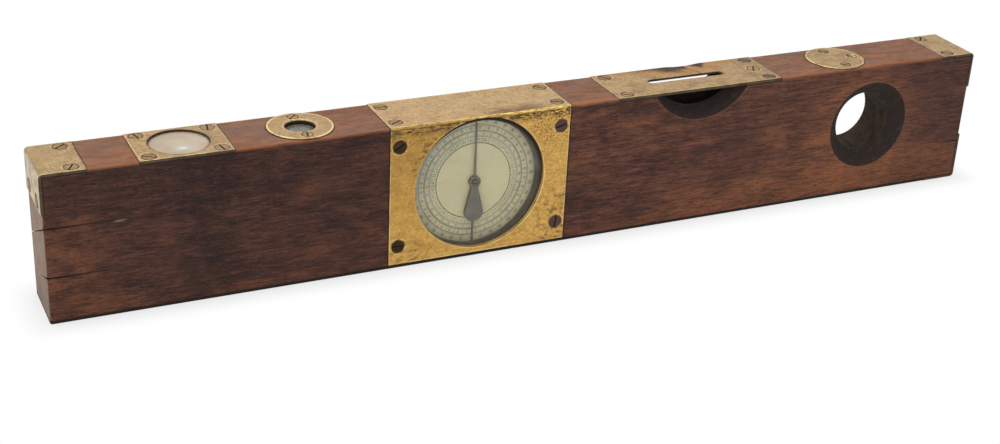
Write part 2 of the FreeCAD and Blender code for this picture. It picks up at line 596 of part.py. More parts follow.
def build_compass():
    """Plate, bowl, card, pin, needle and glass of the compass."""
    plate = body("compass_plate")
    at = ("compass_x", "0", "compass_underside")
    top = ("compass_x", "0", "bar_height + compass_proud")
    pad(plate, "sheet", "top", at, "compass_plate_thickness", rectangle("compass_plate_length", "bar_depth"))
    pocket(plate, "window", "top", top, "compass_plate_thickness", circle("compass_window_radius"))
    wear_rim(plate, S.bar_height + S.compass_proud)
    screw_holes(plate, "holes", "top", top, COMPASS_PLACES)

    bowl = body("compass_bowl")
    inside = "compass_bowl_radius - compass_bowl_wall"
    floor = "compass_bowl_wall - compass_bowl_depth"
    revolve(bowl, "shell", "up", at,
            ("0", "-compass_bowl_depth"), ("compass_bowl_radius", "-compass_bowl_depth"),
            ("compass_bowl_radius", "0"), (inside, "0"), (inside, floor), ("0", floor))

    card = body("compass_card")
    revolve(card, "disc", "up", at,
            ("compass_pin_radius + fit_gap", floor), (f"{inside} - fit_gap", floor),
            (f"{inside} - fit_gap", f"{floor} + compass_card_thickness"),
            ("compass_pin_radius + fit_gap", f"{floor} + compass_card_thickness"))

    pin = body("compass_pin")
    taper, point = "2 * compass_pin_radius", "compass_point - compass_underside"
    revolve(pin, "spike", "up", at,
            ("0", floor), ("compass_pin_radius", floor), ("compass_pin_radius", f"{point} - {taper}"),
            ("compass_pin_radius / 8", point), ("0", point))

    needle = body("compass_needle")
    pivot = ("compass_x", "0", "compass_point")
    foot = "needle_cap_roof - needle_cap_height"
    socket = "compass_pin_radius + running_gap"
    revolve(needle, "cap", "up", pivot,
            ("0", foot), ("needle_cap_radius", foot), ("needle_cap_radius", "needle_cap_roof / 3"),
            ("needle_cap_radius / 2", "needle_cap_roof"), ("0", "needle_cap_roof"))
    pad(needle, "blade", "top", ("compass_x", "0", "compass_point - needle_thickness"), "needle_thickness",
        polygon(("-needle_length / 2", "0"), ("0", "-needle_width / 2"),
                ("needle_length / 2", "0"), ("0", "needle_width / 2")))
    groove(needle, "socket", "up", pivot,
           ("0", f"{foot} - fit_gap"), (socket, f"{foot} - fit_gap"), (socket, "running_gap"),
           ("0", "running_gap"))

    glass = body("compass_glass")
    edge, low = "compass_glass_radius", "-compass_glass_thickness"
    crown = "compass_window_radius - fit_gap"
    revolve(glass, "lens", "up", at,
            ("0", low), (edge, low), (edge, "0"), (crown, "0"), (crown, "compass_glass_dome / 2"),
            ("compass_window_radius * 0.6", "compass_glass_dome * 0.9"), ("0", "compass_glass_dome"))


def build_bullseye():
    """Ring, cup, spirit and glass of the round level."""
    at = ("eye_x", "0", "eye_underside")
    ring = body("bullseye_ring")
    wide = "eye_window_radius + eye_bevel"
    revolve(ring, "disc", "up", at,
            ("eye_window_radius", "0"), ("eye_radius", "0"), ("eye_radius", "eye_thickness"),
            (wide, "eye_thickness"), ("eye_window_radius", "eye_thickness - eye_bevel"))
    wear_rim(ring, S.bar_height + S.eye_proud)
    screw_holes(ring, "holes", "top", ("eye_x", "0", "bar_height + eye_proud"), EYE_PLACES, "small")

    cup = body("bullseye_cup")
    floor, seat = "eye_cup_wall - eye_cup_depth", "-eye_glass_drop - eye_glass_thickness"
    revolve(cup, "shell", "up", at,
            ("0", "-eye_cup_depth"), ("eye_cup_radius", "-eye_cup_depth"), ("eye_cup_radius", "0"),
            ("eye_cup_bore", "0"), ("eye_cup_bore", seat), ("eye_cup_well", seat), ("eye_cup_well", floor),
            ("0", floor))

    glass = body("bullseye_glass")
    edge, high = "eye_cup_bore - fit_gap", "-eye_glass_drop"
    crown = "eye_window_radius - fit_gap"
    revolve(glass, "lens", "up", at,
            ("0", seat), (edge, seat), (edge, high), (crown, high), (crown, f"{high} + eye_glass_dome / 2"),
            ("eye_window_radius * 0.6", f"{high} + eye_glass_dome * 0.9"), ("0", f"{high} + eye_glass_dome"))

    spirit = body("bullseye_spirit")
    side = "eye_cup_well - fit_gap"
    revolve(spirit, "fill", "up", at,
            ("0", floor), (side, floor), (side, seat), ("bubble_radius", seat),
            ("bubble_radius * 0.7", f"{seat} - bubble_depth * 0.8"), ("0", f"{seat} - bubble_depth"))


def build_dial():
    """Top and front plates, case, card, glass, pivot and pointer of the pendulum dial."""
    plate = body("dial_top_plate")
    pad(plate, "sheet", "top", ("dial_x", "0", "dial_top_underside"), "dial_top_thickness",
        rectangle("dial_plate_length", "bar_depth"))
    wear_rim(plate, S.bar_height + S.dial_top_proud)
    pocket(plate, "window_nick", "front", ("dial_x", "-half_depth", "dial_window_z"),
           "dial_front_thickness", circle("dial_window_radius"))
    screw_holes(plate, "holes", "top", ("dial_x", "0", "bar_height + dial_top_proud"), DIAL_TOP_PLACES)

    front = body("dial_front_plate")
    pad(front, "sheet", "front", ("dial_x", "dial_plate_back", "0"), "dial_front_thickness",
        rectangle("dial_plate_length", "dial_top_underside - dial_front_foot", "0",
                  "(dial_top_underside + dial_front_foot) / 2"))
    round_edges(front, "worn_sides", "brass_edge_radius",
                lambda edge: runs_along(edge, "z") and lies_at(edge, "Y", -S.half_depth))
    pocket(front, "window", "front", ("dial_x", "-half_depth", "dial_window_z"),
           "dial_front_thickness", circle("dial_window_radius"))
    screw_holes(front, "holes", "front", ("dial_x", "-half_depth", "0"), DIAL_FRONT_PLACES)

    case = body("dial_case")
    axis = ("dial_x", "0", "dial_z")
    ledge = "dial_plate_back + dial_glass_thickness"
    thread_hole = "pivot_thread_radius + fit_gap"
    revolve(case, "shell", "through", axis,
            ("dial_plate_back", "dial_case_mouth"), ("dial_plate_back", "dial_case_radius"),
            ("dial_case_back", "dial_case_radius"), ("dial_case_back", thread_hole),
            ("dial_card_back", thread_hole), ("dial_card_back", "dial_case_bore"),
            (ledge, "dial_case_bore"), (ledge, "dial_case_mouth"))

    card = body("dial_card")
    revolve(card, "disc", "through", axis,
            ("dial_card_face", thread_hole), ("dial_card_back", thread_hole),
            ("dial_card_back", "dial_case_bore - fit_gap"), ("dial_card_face", "dial_case_bore - fit_gap"))

    glass = body("dial_glass")
    revolve(glass, "disc", "through", axis,
            ("dial_plate_back", "0"), (ledge, "0"), (ledge, "dial_case_mouth - fit_gap"),
            ("dial_plate_back", "dial_case_mouth - fit_gap"))

    pivot = body("pendulum_pivot")
    journal = "dial_card_face - pivot_journal_length"
    head = f"{journal} - pivot_head_height"
    thread_end = "dial_card_face + pivot_thread_length"
    revolve(pivot, "screw", "through", axis,
            (head, "0"), (head, "pivot_head_radius * 0.8"), (f"{journal} - pivot_head_height / 2", "pivot_head_radius"),
            (journal, "pivot_head_radius"), (journal, "pivot_journal_radius"),
            ("dial_card_face", "pivot_journal_radius"), ("dial_card_face", "pivot_thread_radius"),
            (thread_end, "pivot_thread_radius"), (thread_end, "0"))
    pocket(pivot, "driver_slot", "front", ("dial_x", head, "dial_z"), "pivot_head_height / 2",
           rectangle("2 * pivot_head_radius", "driver_slot_width * 0.6"))

    build_pointer(axis)


def build_pointer(axis):
    """The pendulum pointer: hub, upper needle, pear-shaped weight and lower tail in one piece."""
    pointer = body("pendulum_pointer")
    bore = "pivot_journal_radius + running_gap"
    half_hub = "pointer_hub_length / 2"
    revolve(pointer, "hub", "through", axis,
            (f"pointer_middle - {half_hub}", bore), (f"pointer_middle + {half_hub}", bore),
            (f"pointer_middle + {half_hub}", "pointer_hub_radius"),
            (f"pointer_middle - {half_hub}", "pointer_hub_radius"))
    arm = ("dial_x", "pointer_middle + pointer_thickness / 2", "dial_z")
    root = "(pivot_journal_radius + pointer_hub_radius) / 2"
    tip, tail = "(dial_case_bore - pointer_tip_gap)", "(dial_case_bore - pointer_tail_gap)"
    pad(pointer, "needle", "front", arm, "pointer_thickness",
        polygon(("-pointer_root_width / 2", root), ("pointer_root_width / 2", root),
                ("pointer_tip_width / 2", tip), ("-pointer_tip_width / 2", tip)))
    pad(pointer, "tail", "front", arm, "pointer_thickness",
        polygon(("-pointer_tail_width / 2", "-bob_reach"), ("-pointer_tip_width / 2", f"-{tail}"),
                ("pointer_tip_width / 2", f"-{tail}"), ("pointer_tail_width / 2", "-bob_reach")))
    weight = ("dial_x", "pointer_middle + pointer_bob_thickness / 2", "dial_z")
    pad(pointer, "bob", "front", weight, "pointer_bob_thickness", circle("bob_radius", "0", "-bob_reach"))
    # the flanks leave the narrow neck and run into the round, as shares of its radius
    lift, spread = "bob_radius * 0.235", "bob_radius * 0.972"
    pad(pointer, "flanks", "front", weight, "pointer_bob_thickness",
        polygon(("-bob_neck_width / 2", f"-{root}"), ("-bob_neck_width / 2", "-bob_neck_reach"),
                (f"-{spread}", f"-bob_reach + {lift}"), (spread, f"-bob_reach + {lift}"),
                ("bob_neck_width / 2", "-bob_neck_reach"), ("bob_neck_width / 2", f"-{root}")))


def build_vial_plate():
    """The slotted plate over the mortise, dented at its rear edge."""
    plate = body("vial_plate")
    top = ("vial_plate_x", "0", "bar_height + vial_plate_proud")
    pad(plate, "sheet", "top", ("vial_plate_x", "0", "vial_plate_underside"), "vial_plate_thickness",
        rectangle("vial_plate_length", "bar_depth"))
    slot = ("reading_slot_x", "0", "bar_height + vial_plate_proud")
    straight = "reading_slot_length - reading_slot_width"
    pocket(plate, "slot_middle", "top", slot, "vial_plate_thickness", rectangle(straight, "reading_slot_width"))
    pocket(plate, "slot_ends", "top", slot, "vial_plate_thickness",
           *(circle("reading_slot_width / 2", f"{side} * ({straight}) / 2") for side in (-1, 1)))
    wear_rim(plate, S.bar_height + S.vial_plate_proud)
    bevel_edges(plate, "slot_bevel", "reading_slot_bevel",
                lambda edge: lies_at(edge, "Z", S.vial_plate_underside)
                and edge.BoundBox.YMax < S.reading_slot_width and edge.BoundBox.YMin > -S.reading_slot_width)
    screw_holes(plate, "holes", "top", ("0", "0", top[2]), VIAL_PLACES)
    screw_holes(plate, "adjuster_hole", "top", ("adjuster_x", "0", top[2]), [("0", "0")])

    # the dent is the shallow end of a wide cone that opens towards the rear edge
    wide = "dent_length * dent_length / (8 * dent_depth)"
    groove(plate, "dent", "through", ("dent_x", "0", f"bar_height + vial_plate_proud + {wide} - dent_depth"),
           ("half_depth - dent_reach", f"-({wide}) + dent_depth"), ("half_depth", f"-({wide})"),
           ("half_depth + fit_gap", f"-({wide})"), ("half_depth + fit_gap", f"-({wide}) + 2 * dent_depth"),
           ("half_depth - dent_reach", f"-({wide}) + 2 * dent_depth"))


def build_plumb_cover():
    cover = body("plumb_cover")
    top = ("cover_x", "0", "bar_height + cover_proud")
    pad(cover, "disc", "top", ("cover_x", "0", "cover_underside"), "cover_thickness", circle("cover_radius"))
    wear_rim(cover, S.bar_height + S.cover_proud)
    screw_holes(cover, "holes", "top", top, COVER_PLACES + [("cover_adjuster_reach", "0")], "small")


# How a screw is turned so that its head looks out of each face.
LOOKS = {
    "top": Vector(0, 0, 1), "bottom": Vector(0, 0, -1), "front": Vector(0, -1, 0),
    "left": Vector(-1, 0, 0), "right": Vector(1, 0, 0),
}


def screw_shape(head, shank, depth, length):
    """A countersunk slotted screw, with the top of its head at the origin."""
    outline = [(0, 0), (head, 0), (shank, -depth), (shank, -length), (0, -length), (0, 0)]
    profile = Part.Face(Part.makePolygon([Vector(r, 0, z) for r, z in outline]))
    slot = Part.makeBox(2 * head, S.driver_slot_width, S.driver_slot_depth,
                        Vector(-head, -S.driver_slot_width / 2, -S.driver_slot_depth))
    return profile.revolve(Vector(0, 0, 0), Vector(0, 0, 1), 360).cut(slot)


def screws(name, shape, *seats):
    """Identical screws as separate solids. A seat is a face, a place and the turn of its slot."""
    placed = []
    for face, place, turn in seats:
        aim = Rotation(Vector(0, 0, 1), LOOKS[face])
        placed.append(shape.transformed(
            Placement(Vector(*place), aim * Rotation(Vector(0, 0, 1), turn)).toMatrix()))
    made = doc.addObject("Part::Feature", name)
    made.Label = name
    made.Shape = Part.makeCompound(placed)


def build_screws():
    plate_screw = screw_shape(S.screw_head_radius, S.screw_shank_radius, S.screw_head_depth, S.screw_length)
    small = (S.small_head_radius, S.small_shank_radius, S.small_head_depth)
    small_screw = screw_shape(*small, S.small_screw_length)

    def four(x, y, z, half_x, half_y, turns):
        return [("top", (x + sx * half_x, y + sy * half_y, z), turn)
                for (sx, sy), turn in zip(FOUR_CORNERS, turns)]

    screws("compass_plate_screws", plate_screw,
           *four(S.compass_x, 0, S.bar_height + S.compass_proud, S.compass_screw_x, S.compass_screw_y,
                 (-31, -76, -80, 80)))
    screws("bullseye_screws", small_screw,
           *[("top", (S.eye_x, side * S.eye_screw_reach, S.bar_height + S.eye_proud), turn)
             for side, turn in ((-1, 78), (1, 41))])
    screws("dial_top_screws", plate_screw,
           *four(S.dial_x, 0, S.bar_height + S.dial_top_proud, S.dial_screw_x,
                 S.half_depth - S.dial_top_screw_edge, (31, 2, -29, -46)))
    screws("dial_front_screws", plate_screw,
           *[("front", (S.dial_x + side * S.dial_screw_x, -S.half_depth, z), turn)
             for side, z, turn in ((-1, S.bar_height - S.dial_front_screw_drop, 33),
                                   (-1, S.dial_front_screw_rise, -7),
                                   (1, S.bar_height - S.dial_front_screw_drop, 17),
                                   (1, S.dial_front_screw_rise, 80))])
    vial_top = S.bar_height + S.vial_plate_proud
    screws("vial_plate_screws", plate_screw,
           *[("top", (x, side * S.vial_screw_y, vial_top), turn)
             for x, side, turn in ((S.vial_screw_left, -1, -40), (S.vial_screw_left, 1, -55),
                                   (S.vial_screw_right, -1, -25), (S.vial_screw_right, 1, -35))])
    adjuster = screw_shape(S.screw_head_radius, S.screw_shank_radius, S.screw_head_depth, S.adjuster_length)
    screws("vial_adjusting_screw", adjuster, ("top", (S.adjuster_x, 0, vial_top), 61))
    cover_top = S.bar_height + S.cover_proud
    screws("plumb_cover_screws", small_screw,
           *[("top", (S.cover_x, side * S.cover_screw_reach, cover_top), turn)
             for side, turn in ((-1, 4), (1, -38))])
    screws("plumb_adjusting_screw", small_screw,
           ("top", (S.cover_x + S.cover_adjuster_reach, 0, cover_top), -20))
    tip_turns = {"tip_top_left": (62, 38, 35, -20), "tip_top_right": (-45, 52, 12, 66),
                 "tip_bottom_right": (22, 75, -30, 8)}
    for name, (end, face) in TIPS.items():
        front_leg, back_leg, front_end, back_end = tip_turns[name]
        side = -1 if end == "left" else 1
        level = S.bar_height if face == "top" else 0
        end_z = S.upper_tip_screw_z if face == "top" else S.tip_end_screw_inset
        screws(f"{name}_screws", plate_screw,
               *[(face, (side * S.tip_face_screw_x, y * S.tip_face_screw_y, level), turn)
                 for y, turn in ((-1, front_leg), (1, back_leg))],
               *[(end, (side * S.tip_end, y * S.tip_end_screw_spacing / 2, end_z), turn)
                 for y, turn in ((-1, front_end), (1, back_end))])


build_bar()
for tip_name, (tip_end, tip_face) in TIPS.items():
    build_tip(tip_name, tip_end, tip_face)
build_compass()
build_bullseye()
build_dial()
build_vial_plate()
build_plumb_cover()
build_screws()
doc.recompute()

failed = [thing.Name for thing in doc.Objects if {"Invalid", "Error"} & set(thing.State)]
if failed:
    raise RuntimeError("not built: " + ", ".join(failed))

os.makedirs("parts", exist_ok=True)
for thing in doc.Objects:
    if thing.TypeId not in ("PartDesign::Body", "Part::Feature"):
        continue
    shape = thing.Shape
    if shape.isNull() or not shape.isValid() or not shape.Solids:
        raise RuntimeError(f"{thing.Label} has no valid solid")
    shape.exportStep(f"parts/{thing.Label}.step")
    print(f"{thing.Label}: {len(shape.Solids)} solid(s), {shape.Volume / 1000:.2f} cm3")
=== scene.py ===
import json
import math
from functools import reduce

import bmesh
import bpy
from mathutils import Matrix, Vector


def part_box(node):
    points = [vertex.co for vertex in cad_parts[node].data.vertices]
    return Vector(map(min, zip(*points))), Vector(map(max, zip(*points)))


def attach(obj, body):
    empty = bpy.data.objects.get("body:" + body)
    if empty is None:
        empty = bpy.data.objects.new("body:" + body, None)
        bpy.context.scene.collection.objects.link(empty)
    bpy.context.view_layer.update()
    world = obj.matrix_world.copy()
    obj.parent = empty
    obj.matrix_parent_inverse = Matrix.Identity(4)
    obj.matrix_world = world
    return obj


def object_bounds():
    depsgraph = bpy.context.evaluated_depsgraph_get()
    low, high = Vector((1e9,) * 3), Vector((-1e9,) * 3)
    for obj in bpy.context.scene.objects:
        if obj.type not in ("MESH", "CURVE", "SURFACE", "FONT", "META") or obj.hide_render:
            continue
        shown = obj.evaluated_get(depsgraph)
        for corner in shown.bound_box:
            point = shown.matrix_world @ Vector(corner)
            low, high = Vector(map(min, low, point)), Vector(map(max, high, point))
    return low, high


bl_info = {
    "name": "Combined level and grade finder",
    "version": (1, 0, 0),
    "blender": (4, 5, 0),
    "location": "View3D > Sidebar > Level",
    "description": "Finishes the solids of an old wooden level in hardwood, brass, glass and printed card",
    "category": "Object",
}

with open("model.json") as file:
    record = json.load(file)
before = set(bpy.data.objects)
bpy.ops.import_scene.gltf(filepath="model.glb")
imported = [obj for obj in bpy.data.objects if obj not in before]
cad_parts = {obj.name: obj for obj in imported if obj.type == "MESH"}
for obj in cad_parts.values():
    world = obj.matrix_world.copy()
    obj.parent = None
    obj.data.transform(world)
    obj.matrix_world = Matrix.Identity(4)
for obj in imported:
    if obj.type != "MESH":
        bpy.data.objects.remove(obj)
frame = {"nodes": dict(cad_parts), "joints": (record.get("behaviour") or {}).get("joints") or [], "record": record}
CAD_BOX = [list(corner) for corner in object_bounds()]
MM = 0.001

# Measures in millimetres that the frame doesn't give: the mouths of the openings in the wood, the radii of
# the windows in the brass, how far the dial's window stands above the pivot, the thickness of the tips,
# the radii of the screw heads, and how far the numbers stand in front of the dial's card.
NOTCH_Z, NOTCH_RADIUS = 106.8, 38.0
BORE_RADIUS = 29.5
COMPASS_WINDOW, EYE_WINDOW, DIAL_WINDOW = 16.8, 8.6, 41.6
WINDOW_RISE = 2.45
TIP_THICKNESS = 1.6
LARGE_HEAD, SMALL_HEAD = 4.0, 3.2
PRINT_GAP = 0.03

# A font's size for each millimetre of its figures' height.
FONT_SIZE = 1.36

# Each crack at the left: its height on the front edge, its fall for each millimetre across the end, and
# where its hairline closes, from the end of the bar. The one at the right has only a height.
LEFT_CRACKS = ((57.4, 19.0 / 39.2, 58.0), (28.3, 6.7 / 19.6, 52.0))
RIGHT_CRACK_Z = 27.1


def srgb(red, green, blue):
    """A colour read as 0 to 255 on a screen, as the linear one that Blender holds."""
    shares = (red / 255, green / 255, blue / 255)
    return tuple(((share + 0.055) / 1.055) ** 2.4 if share > 0.04 else share / 12.92 for share in shares)


def darker(colour, share):
    return tuple(channel * share for channel in colour)


def opaque(colour):
    return colour if isinstance(colour, Shade) else (*colour[:3], 1.0)


class Shade:
    """A number, colour or vector that changes over a surface. Arithmetic on it adds Math nodes."""

    def __init__(self, wiring, socket):
        self.wiring = wiring
        self.socket = socket

    def math(self, operation, *values):
        return self.wiring.node("ShaderNodeMath", {"operation": operation}, dict(enumerate(values)))

    def __add__(self, other):
        return self.math("ADD", self, other)

    def __sub__(self, other):
        return self.math("SUBTRACT", self, other)

    def __rsub__(self, other):
        return self.math("SUBTRACT", other, self)

    def __mul__(self, other):
        return self.math("MULTIPLY", self, other)

    def __truediv__(self, other):
        return self.math("DIVIDE", self, other)

    def __pow__(self, other):
        return self.math("POWER", self, other)

    def __abs__(self):
        return self.math("ABSOLUTE", self)

    __radd__ = __add__
    __rmul__ = __mul__

    def least(self, other):
        return self.math("MINIMUM", self, other)

    def most(self, other):
        return self.math("MAXIMUM", self, other)

    def rise(self, low, high):
        """0 at low, 1 at high and an even curve between. With low above high it falls."""
        return self.wiring.node(
            "ShaderNodeMapRange", {"interpolation_type": "SMOOTHSTEP"},
            {"Value": self, "From Min": low, "From Max": high, "To Min": 0.0, "To Max": 1.0})

    def near(self, value, half_width, blur):
        """1 within half_width of the value, falling to 0 over the blur."""
        return abs(self - value).rise(half_width + blur, half_width)


class Wiring:
    """The nodes of one material or of the world."""

    def __init__(self, owner):
        owner.use_nodes = True
        self.tree = owner.node_tree
        self.tree.nodes.clear()

    def node(self, kind, settings=None, values=None, output=0):
        """Any node: its type, its settings, then the values or links of its sockets."""
        made = self.tree.nodes.new(kind)
        for name, setting in (settings or {}).items():
            setattr(made, name, setting)
        for name, value in (values or {}).items():
            if isinstance(value, Shade):
                self.tree.links.new(value.socket, made.inputs[name])
            else:
                made.inputs[name].default_value = value
        return Shade(self, made.outputs[output]) if made.outputs else None

    def seen(self):
        """1 for what the camera, a reflection or clear glass shows, 0 for light on the object."""
        rays = [self.node("ShaderNodeLightPath", output=name)
                for name in ("Is Camera Ray", "Is Glossy Ray", "Is Transmission Ray")]
        return reduce(Shade.most, rays)


class Surface(Wiring):
    """A material under construction, measured in millimetres of the part's own frame."""

    def __init__(self, name):
        self.material = bpy.data.materials.new(name)
        super().__init__(self.material)
        spot = self.node("ShaderNodeTexCoord", output="Object")
        self.spot = self.node("ShaderNodeVectorMath", {"operation": "SCALE"}, {0: spot, "Scale": 1 / MM})
        self.x, self.y, self.z = self.parts(self.spot)
        facing = self.node("ShaderNodeTexCoord", output="Normal")
        self.facing_x, self.facing_y, self.facing_z = self.parts(facing)

    def parts(self, vector):
        split = self.node("ShaderNodeSeparateXYZ", None, {0: vector}).socket.node
        return [Shade(self, socket) for socket in split.outputs]

    def stretched(self, sizes):
        """The place on the surface, counted in grains of these sizes along X, Y and Z."""
        sizes = sizes if len(sizes) == 3 else sizes * 3
        return self.node("ShaderNodeVectorMath", {"operation": "MULTIPLY"},
                         {0: self.spot, 1: tuple(1 / size for size in sizes)})

    def noise(self, *sizes, detail=3.0, roughness=0.55, distortion=0.0, seed=0.0):
        """Soft noise around 0.5 whose grains measure one size, or three along X, Y and Z."""
        return self.node(
            "ShaderNodeTexNoise", {"noise_dimensions": "4D"},
            {"Vector": self.stretched(sizes), "W": seed, "Scale": 1.0, "Detail": detail,
             "Roughness": roughness, "Distortion": distortion})

    def cells(self, *sizes):
        """Distance from the nearest of many scattered points, in cell widths."""
        return self.node("ShaderNodeTexVoronoi", None,
                         {"Vector": self.stretched(sizes), "Scale": 1.0}, "Distance")

    def blend(self, share, under, over):
        """Two colours mixed by the share of the second one."""
        return self.node("ShaderNodeMix", {"data_type": "RGBA"},
                         {0: share, 6: opaque(under), 7: opaque(over)}, 2)

    def dim(self, share, colour, tint):
        """A colour multiplied by a tint, as far as the share says."""
        return self.node("ShaderNodeMix", {"data_type": "RGBA", "blend_type": "MULTIPLY"},
                         {0: share, 6: opaque(colour), 7: opaque(tint)}, 2)

    def from_point(self, across, up, x, y):
        """Distance from the point x, y on the plane that two coordinates span."""
        return ((across - x) ** 2 + (up - y) ** 2) ** 0.5

    def relief(self, height, depth):
        """A normal bent by a height map that is this many millimetres deep."""
        return self.node("ShaderNodeBump", None,
                         {"Strength": 1.0, "Distance": depth * MM, "Height": height}, "Normal")

    def finish(self, values):
        """Close the material with these sockets of the main shader."""
        shader = self.node("ShaderNodeBsdfPrincipled", None, values)
        self.node("ShaderNodeOutputMaterial", None, {"Surface": shader})
        return self.material


def dress(material, slot, *names):
    """Give CAD nodes their finish."""
    for name in names:
        node = frame["nodes"][name]
        node.data.materials.clear()
        node.data.materials.append(material)


def reach(node):
    """Lowest and highest corner of a CAD node, in millimetres."""
    low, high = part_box(node)
    return low / MM, high / MM


def middle(node):
    low, high = reach(node)
    return (low + high) / 2


def opening_middle(name):
    openings = frame["record"]["physics"]["openings"]
    box = next(opening["box_m"] for opening in openings if opening["name"] == name)
    return (Vector(box[0]) + Vector(box[1])) / 2 / MM


def joint_place(name):
    return Vector(next(joint["pos_m"] for joint in frame["joints"] if joint["name"] == name)) / MM


def mesh_piece(name, mesh, material, body):
    """A new piece of the object that moves with a CAD body."""
    piece = bpy.data.objects.new(name, mesh)
    bpy.context.scene.collection.objects.link(piece)
    mesh.materials.append(material)
    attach(piece, body)
    return piece


def colour(name, default, description):
    return bpy.props.FloatVectorProperty(name=name, description=description, subtype="COLOR", size=3,
                                         default=default, min=0.0, max=1.0)


def length(name, default, description):
    """A length property, whose default is given in millimetres."""
    return bpy.props.FloatProperty(name=name, description=description, unit="LENGTH",
                                   default=default * MM, min=0.01 * MM)


class LEVEL_PG_wood(bpy.types.PropertyGroup):
    """Colours and grain of the hardwood bar."""

    dark: colour("Dark grain", srgb(60, 37, 31), "Wood between the lighter streaks")
    light: colour("Light grain", srgb(132, 85, 67), "Lighter streaks of the wood")
    stain: colour("Handling stain", srgb(37, 25, 26), "Dark blotches left by oil and hands")
    # also used for the painted highlight along the bar's upper edges
    bare_and_edge_highlight: colour("Worn wood", srgb(170, 107, 70), "Wood rubbed bare on edges and low on the front")
    top: colour("Top face", srgb(160, 108, 78), "The rubbed top face")
    end_grain: colour("End grain", srgb(170, 144, 124), "Bare end grain")
    # also painted into the mortise as painted shade under the vial plate
    blacking_and_mortise_shade: colour("Blacking", srgb(51, 42, 40), "Black stain inside the openings")
    grain_length: length("Grain length", 9.0, "Length of one streak of grain")
    grain_width: length("Grain width", 0.8, "Width of one streak of grain")


class LEVEL_PG_brass(bpy.types.PropertyGroup):
    """Colours of the brass and steel."""

    plate: colour("Top plates", srgb(184, 155, 113), "Dull brass of the pieces in the top face")
    front: colour("Front plate", srgb(216, 172, 94), "Golden brass of the dial's front plate")
    bright: colour("Rubbed brass", srgb(248, 220, 156), "Brass rubbed bright on edges")
    # also used for the painted highlight along the top plates' front corner
    gold: colour("Gold specks", srgb(255, 214, 96), "Fresh brass where the front corner is knocked")
    silvered: colour("Silvered end", srgb(160, 150, 140), "Grey of the brass on the left end")
    tarnish: colour("Tarnish", srgb(128, 96, 58), "Brown tarnish")
    violet: colour("Old screws", srgb(112, 88, 84), "Brown-violet of the oldest screws")
    # also used for painted shade on edges, walls and in screw slots
    dirt_and_shade: colour("Dirt", srgb(44, 34, 27), "Dirt in slots, pits and corners")
    steel: colour("Steel", srgb(124, 120, 110), "Grey steel of the pointer")


class LEVEL_PG_dial(bpy.types.PropertyGroup):
    """Layout and colours of the printed dial."""

    paper: colour("Paper", srgb(240, 230, 186), "Aged paper of the inner disc")
    scale: colour("Scale ring", srgb(238, 231, 192), "Greyer paper of the scale rings")
    ink: colour("Ink", srgb(46, 42, 36), "Printing ink")
    disc_radius: length("Inner disc", 24.1, "Radius of the light inner disc")
    line_width: length("Line width", 0.22, "Width of a printed line")
    numeral_height: length("Numeral height", 1.9, "Height of the printed numbers")
    numeral_step: bpy.props.IntProperty(
        name="Numeral step", description="Degrees from one number to the next", default=10, min=5, max=45)


class LEVEL_PG_stage(bpy.types.PropertyGroup):
    """Light, floor and camera."""

    sky: bpy.props.FloatProperty(name="Sky", description="Strength of the even light all round",
                                 default=0.55, min=0.0)
    overhead: bpy.props.FloatProperty(
        name="Overhead lamp", description="Power of the large soft lamp above", default=14.0, min=0.0,
        unit="POWER")
    front: bpy.props.FloatProperty(name="Front lamp", description="Power of the soft lamp at the front",
                                   default=5.0, min=0.0, unit="POWER")
    floor: bpy.props.FloatProperty(name="Floor", description="Side of the square floor", default=14.0,
                                   min=1.0, unit="LENGTH")
    lens: bpy.props.FloatProperty(name="Lens", description="Focal length of the camera",
                                  default=60.697, min=10.0, unit="CAMERA")


def crack_depths(s, low, high):
    """1 inside the shrinkage cracks at the ends of the bar, where their painted shade goes."""
    into, from_left, from_right = s.y - low.y, s.x - low.x, high.x - s.x
    inside = into.rise(0.1, 0.35) * s.facing_y.rise(0.7, 0.4)
    along_front = into.rise(3.0, 2.2)
    left = from_left.rise(0.3, 0.6) * (along_front * from_left.rise(36, 28)).most(from_left.rise(8, 6))
    lines = [abs(s.z + into * fall - start).rise(2.2, 1.6) for start, fall, _ in LEFT_CRACKS]
    right = from_right.rise(0.3, 0.6) * from_right.rise(30, 24) * along_front
    right = right * abs(s.z - RIGHT_CRACK_Z).rise(2.2, 1.6)
    return inside * (left * reduce(Shade.most, lines)).most(right)


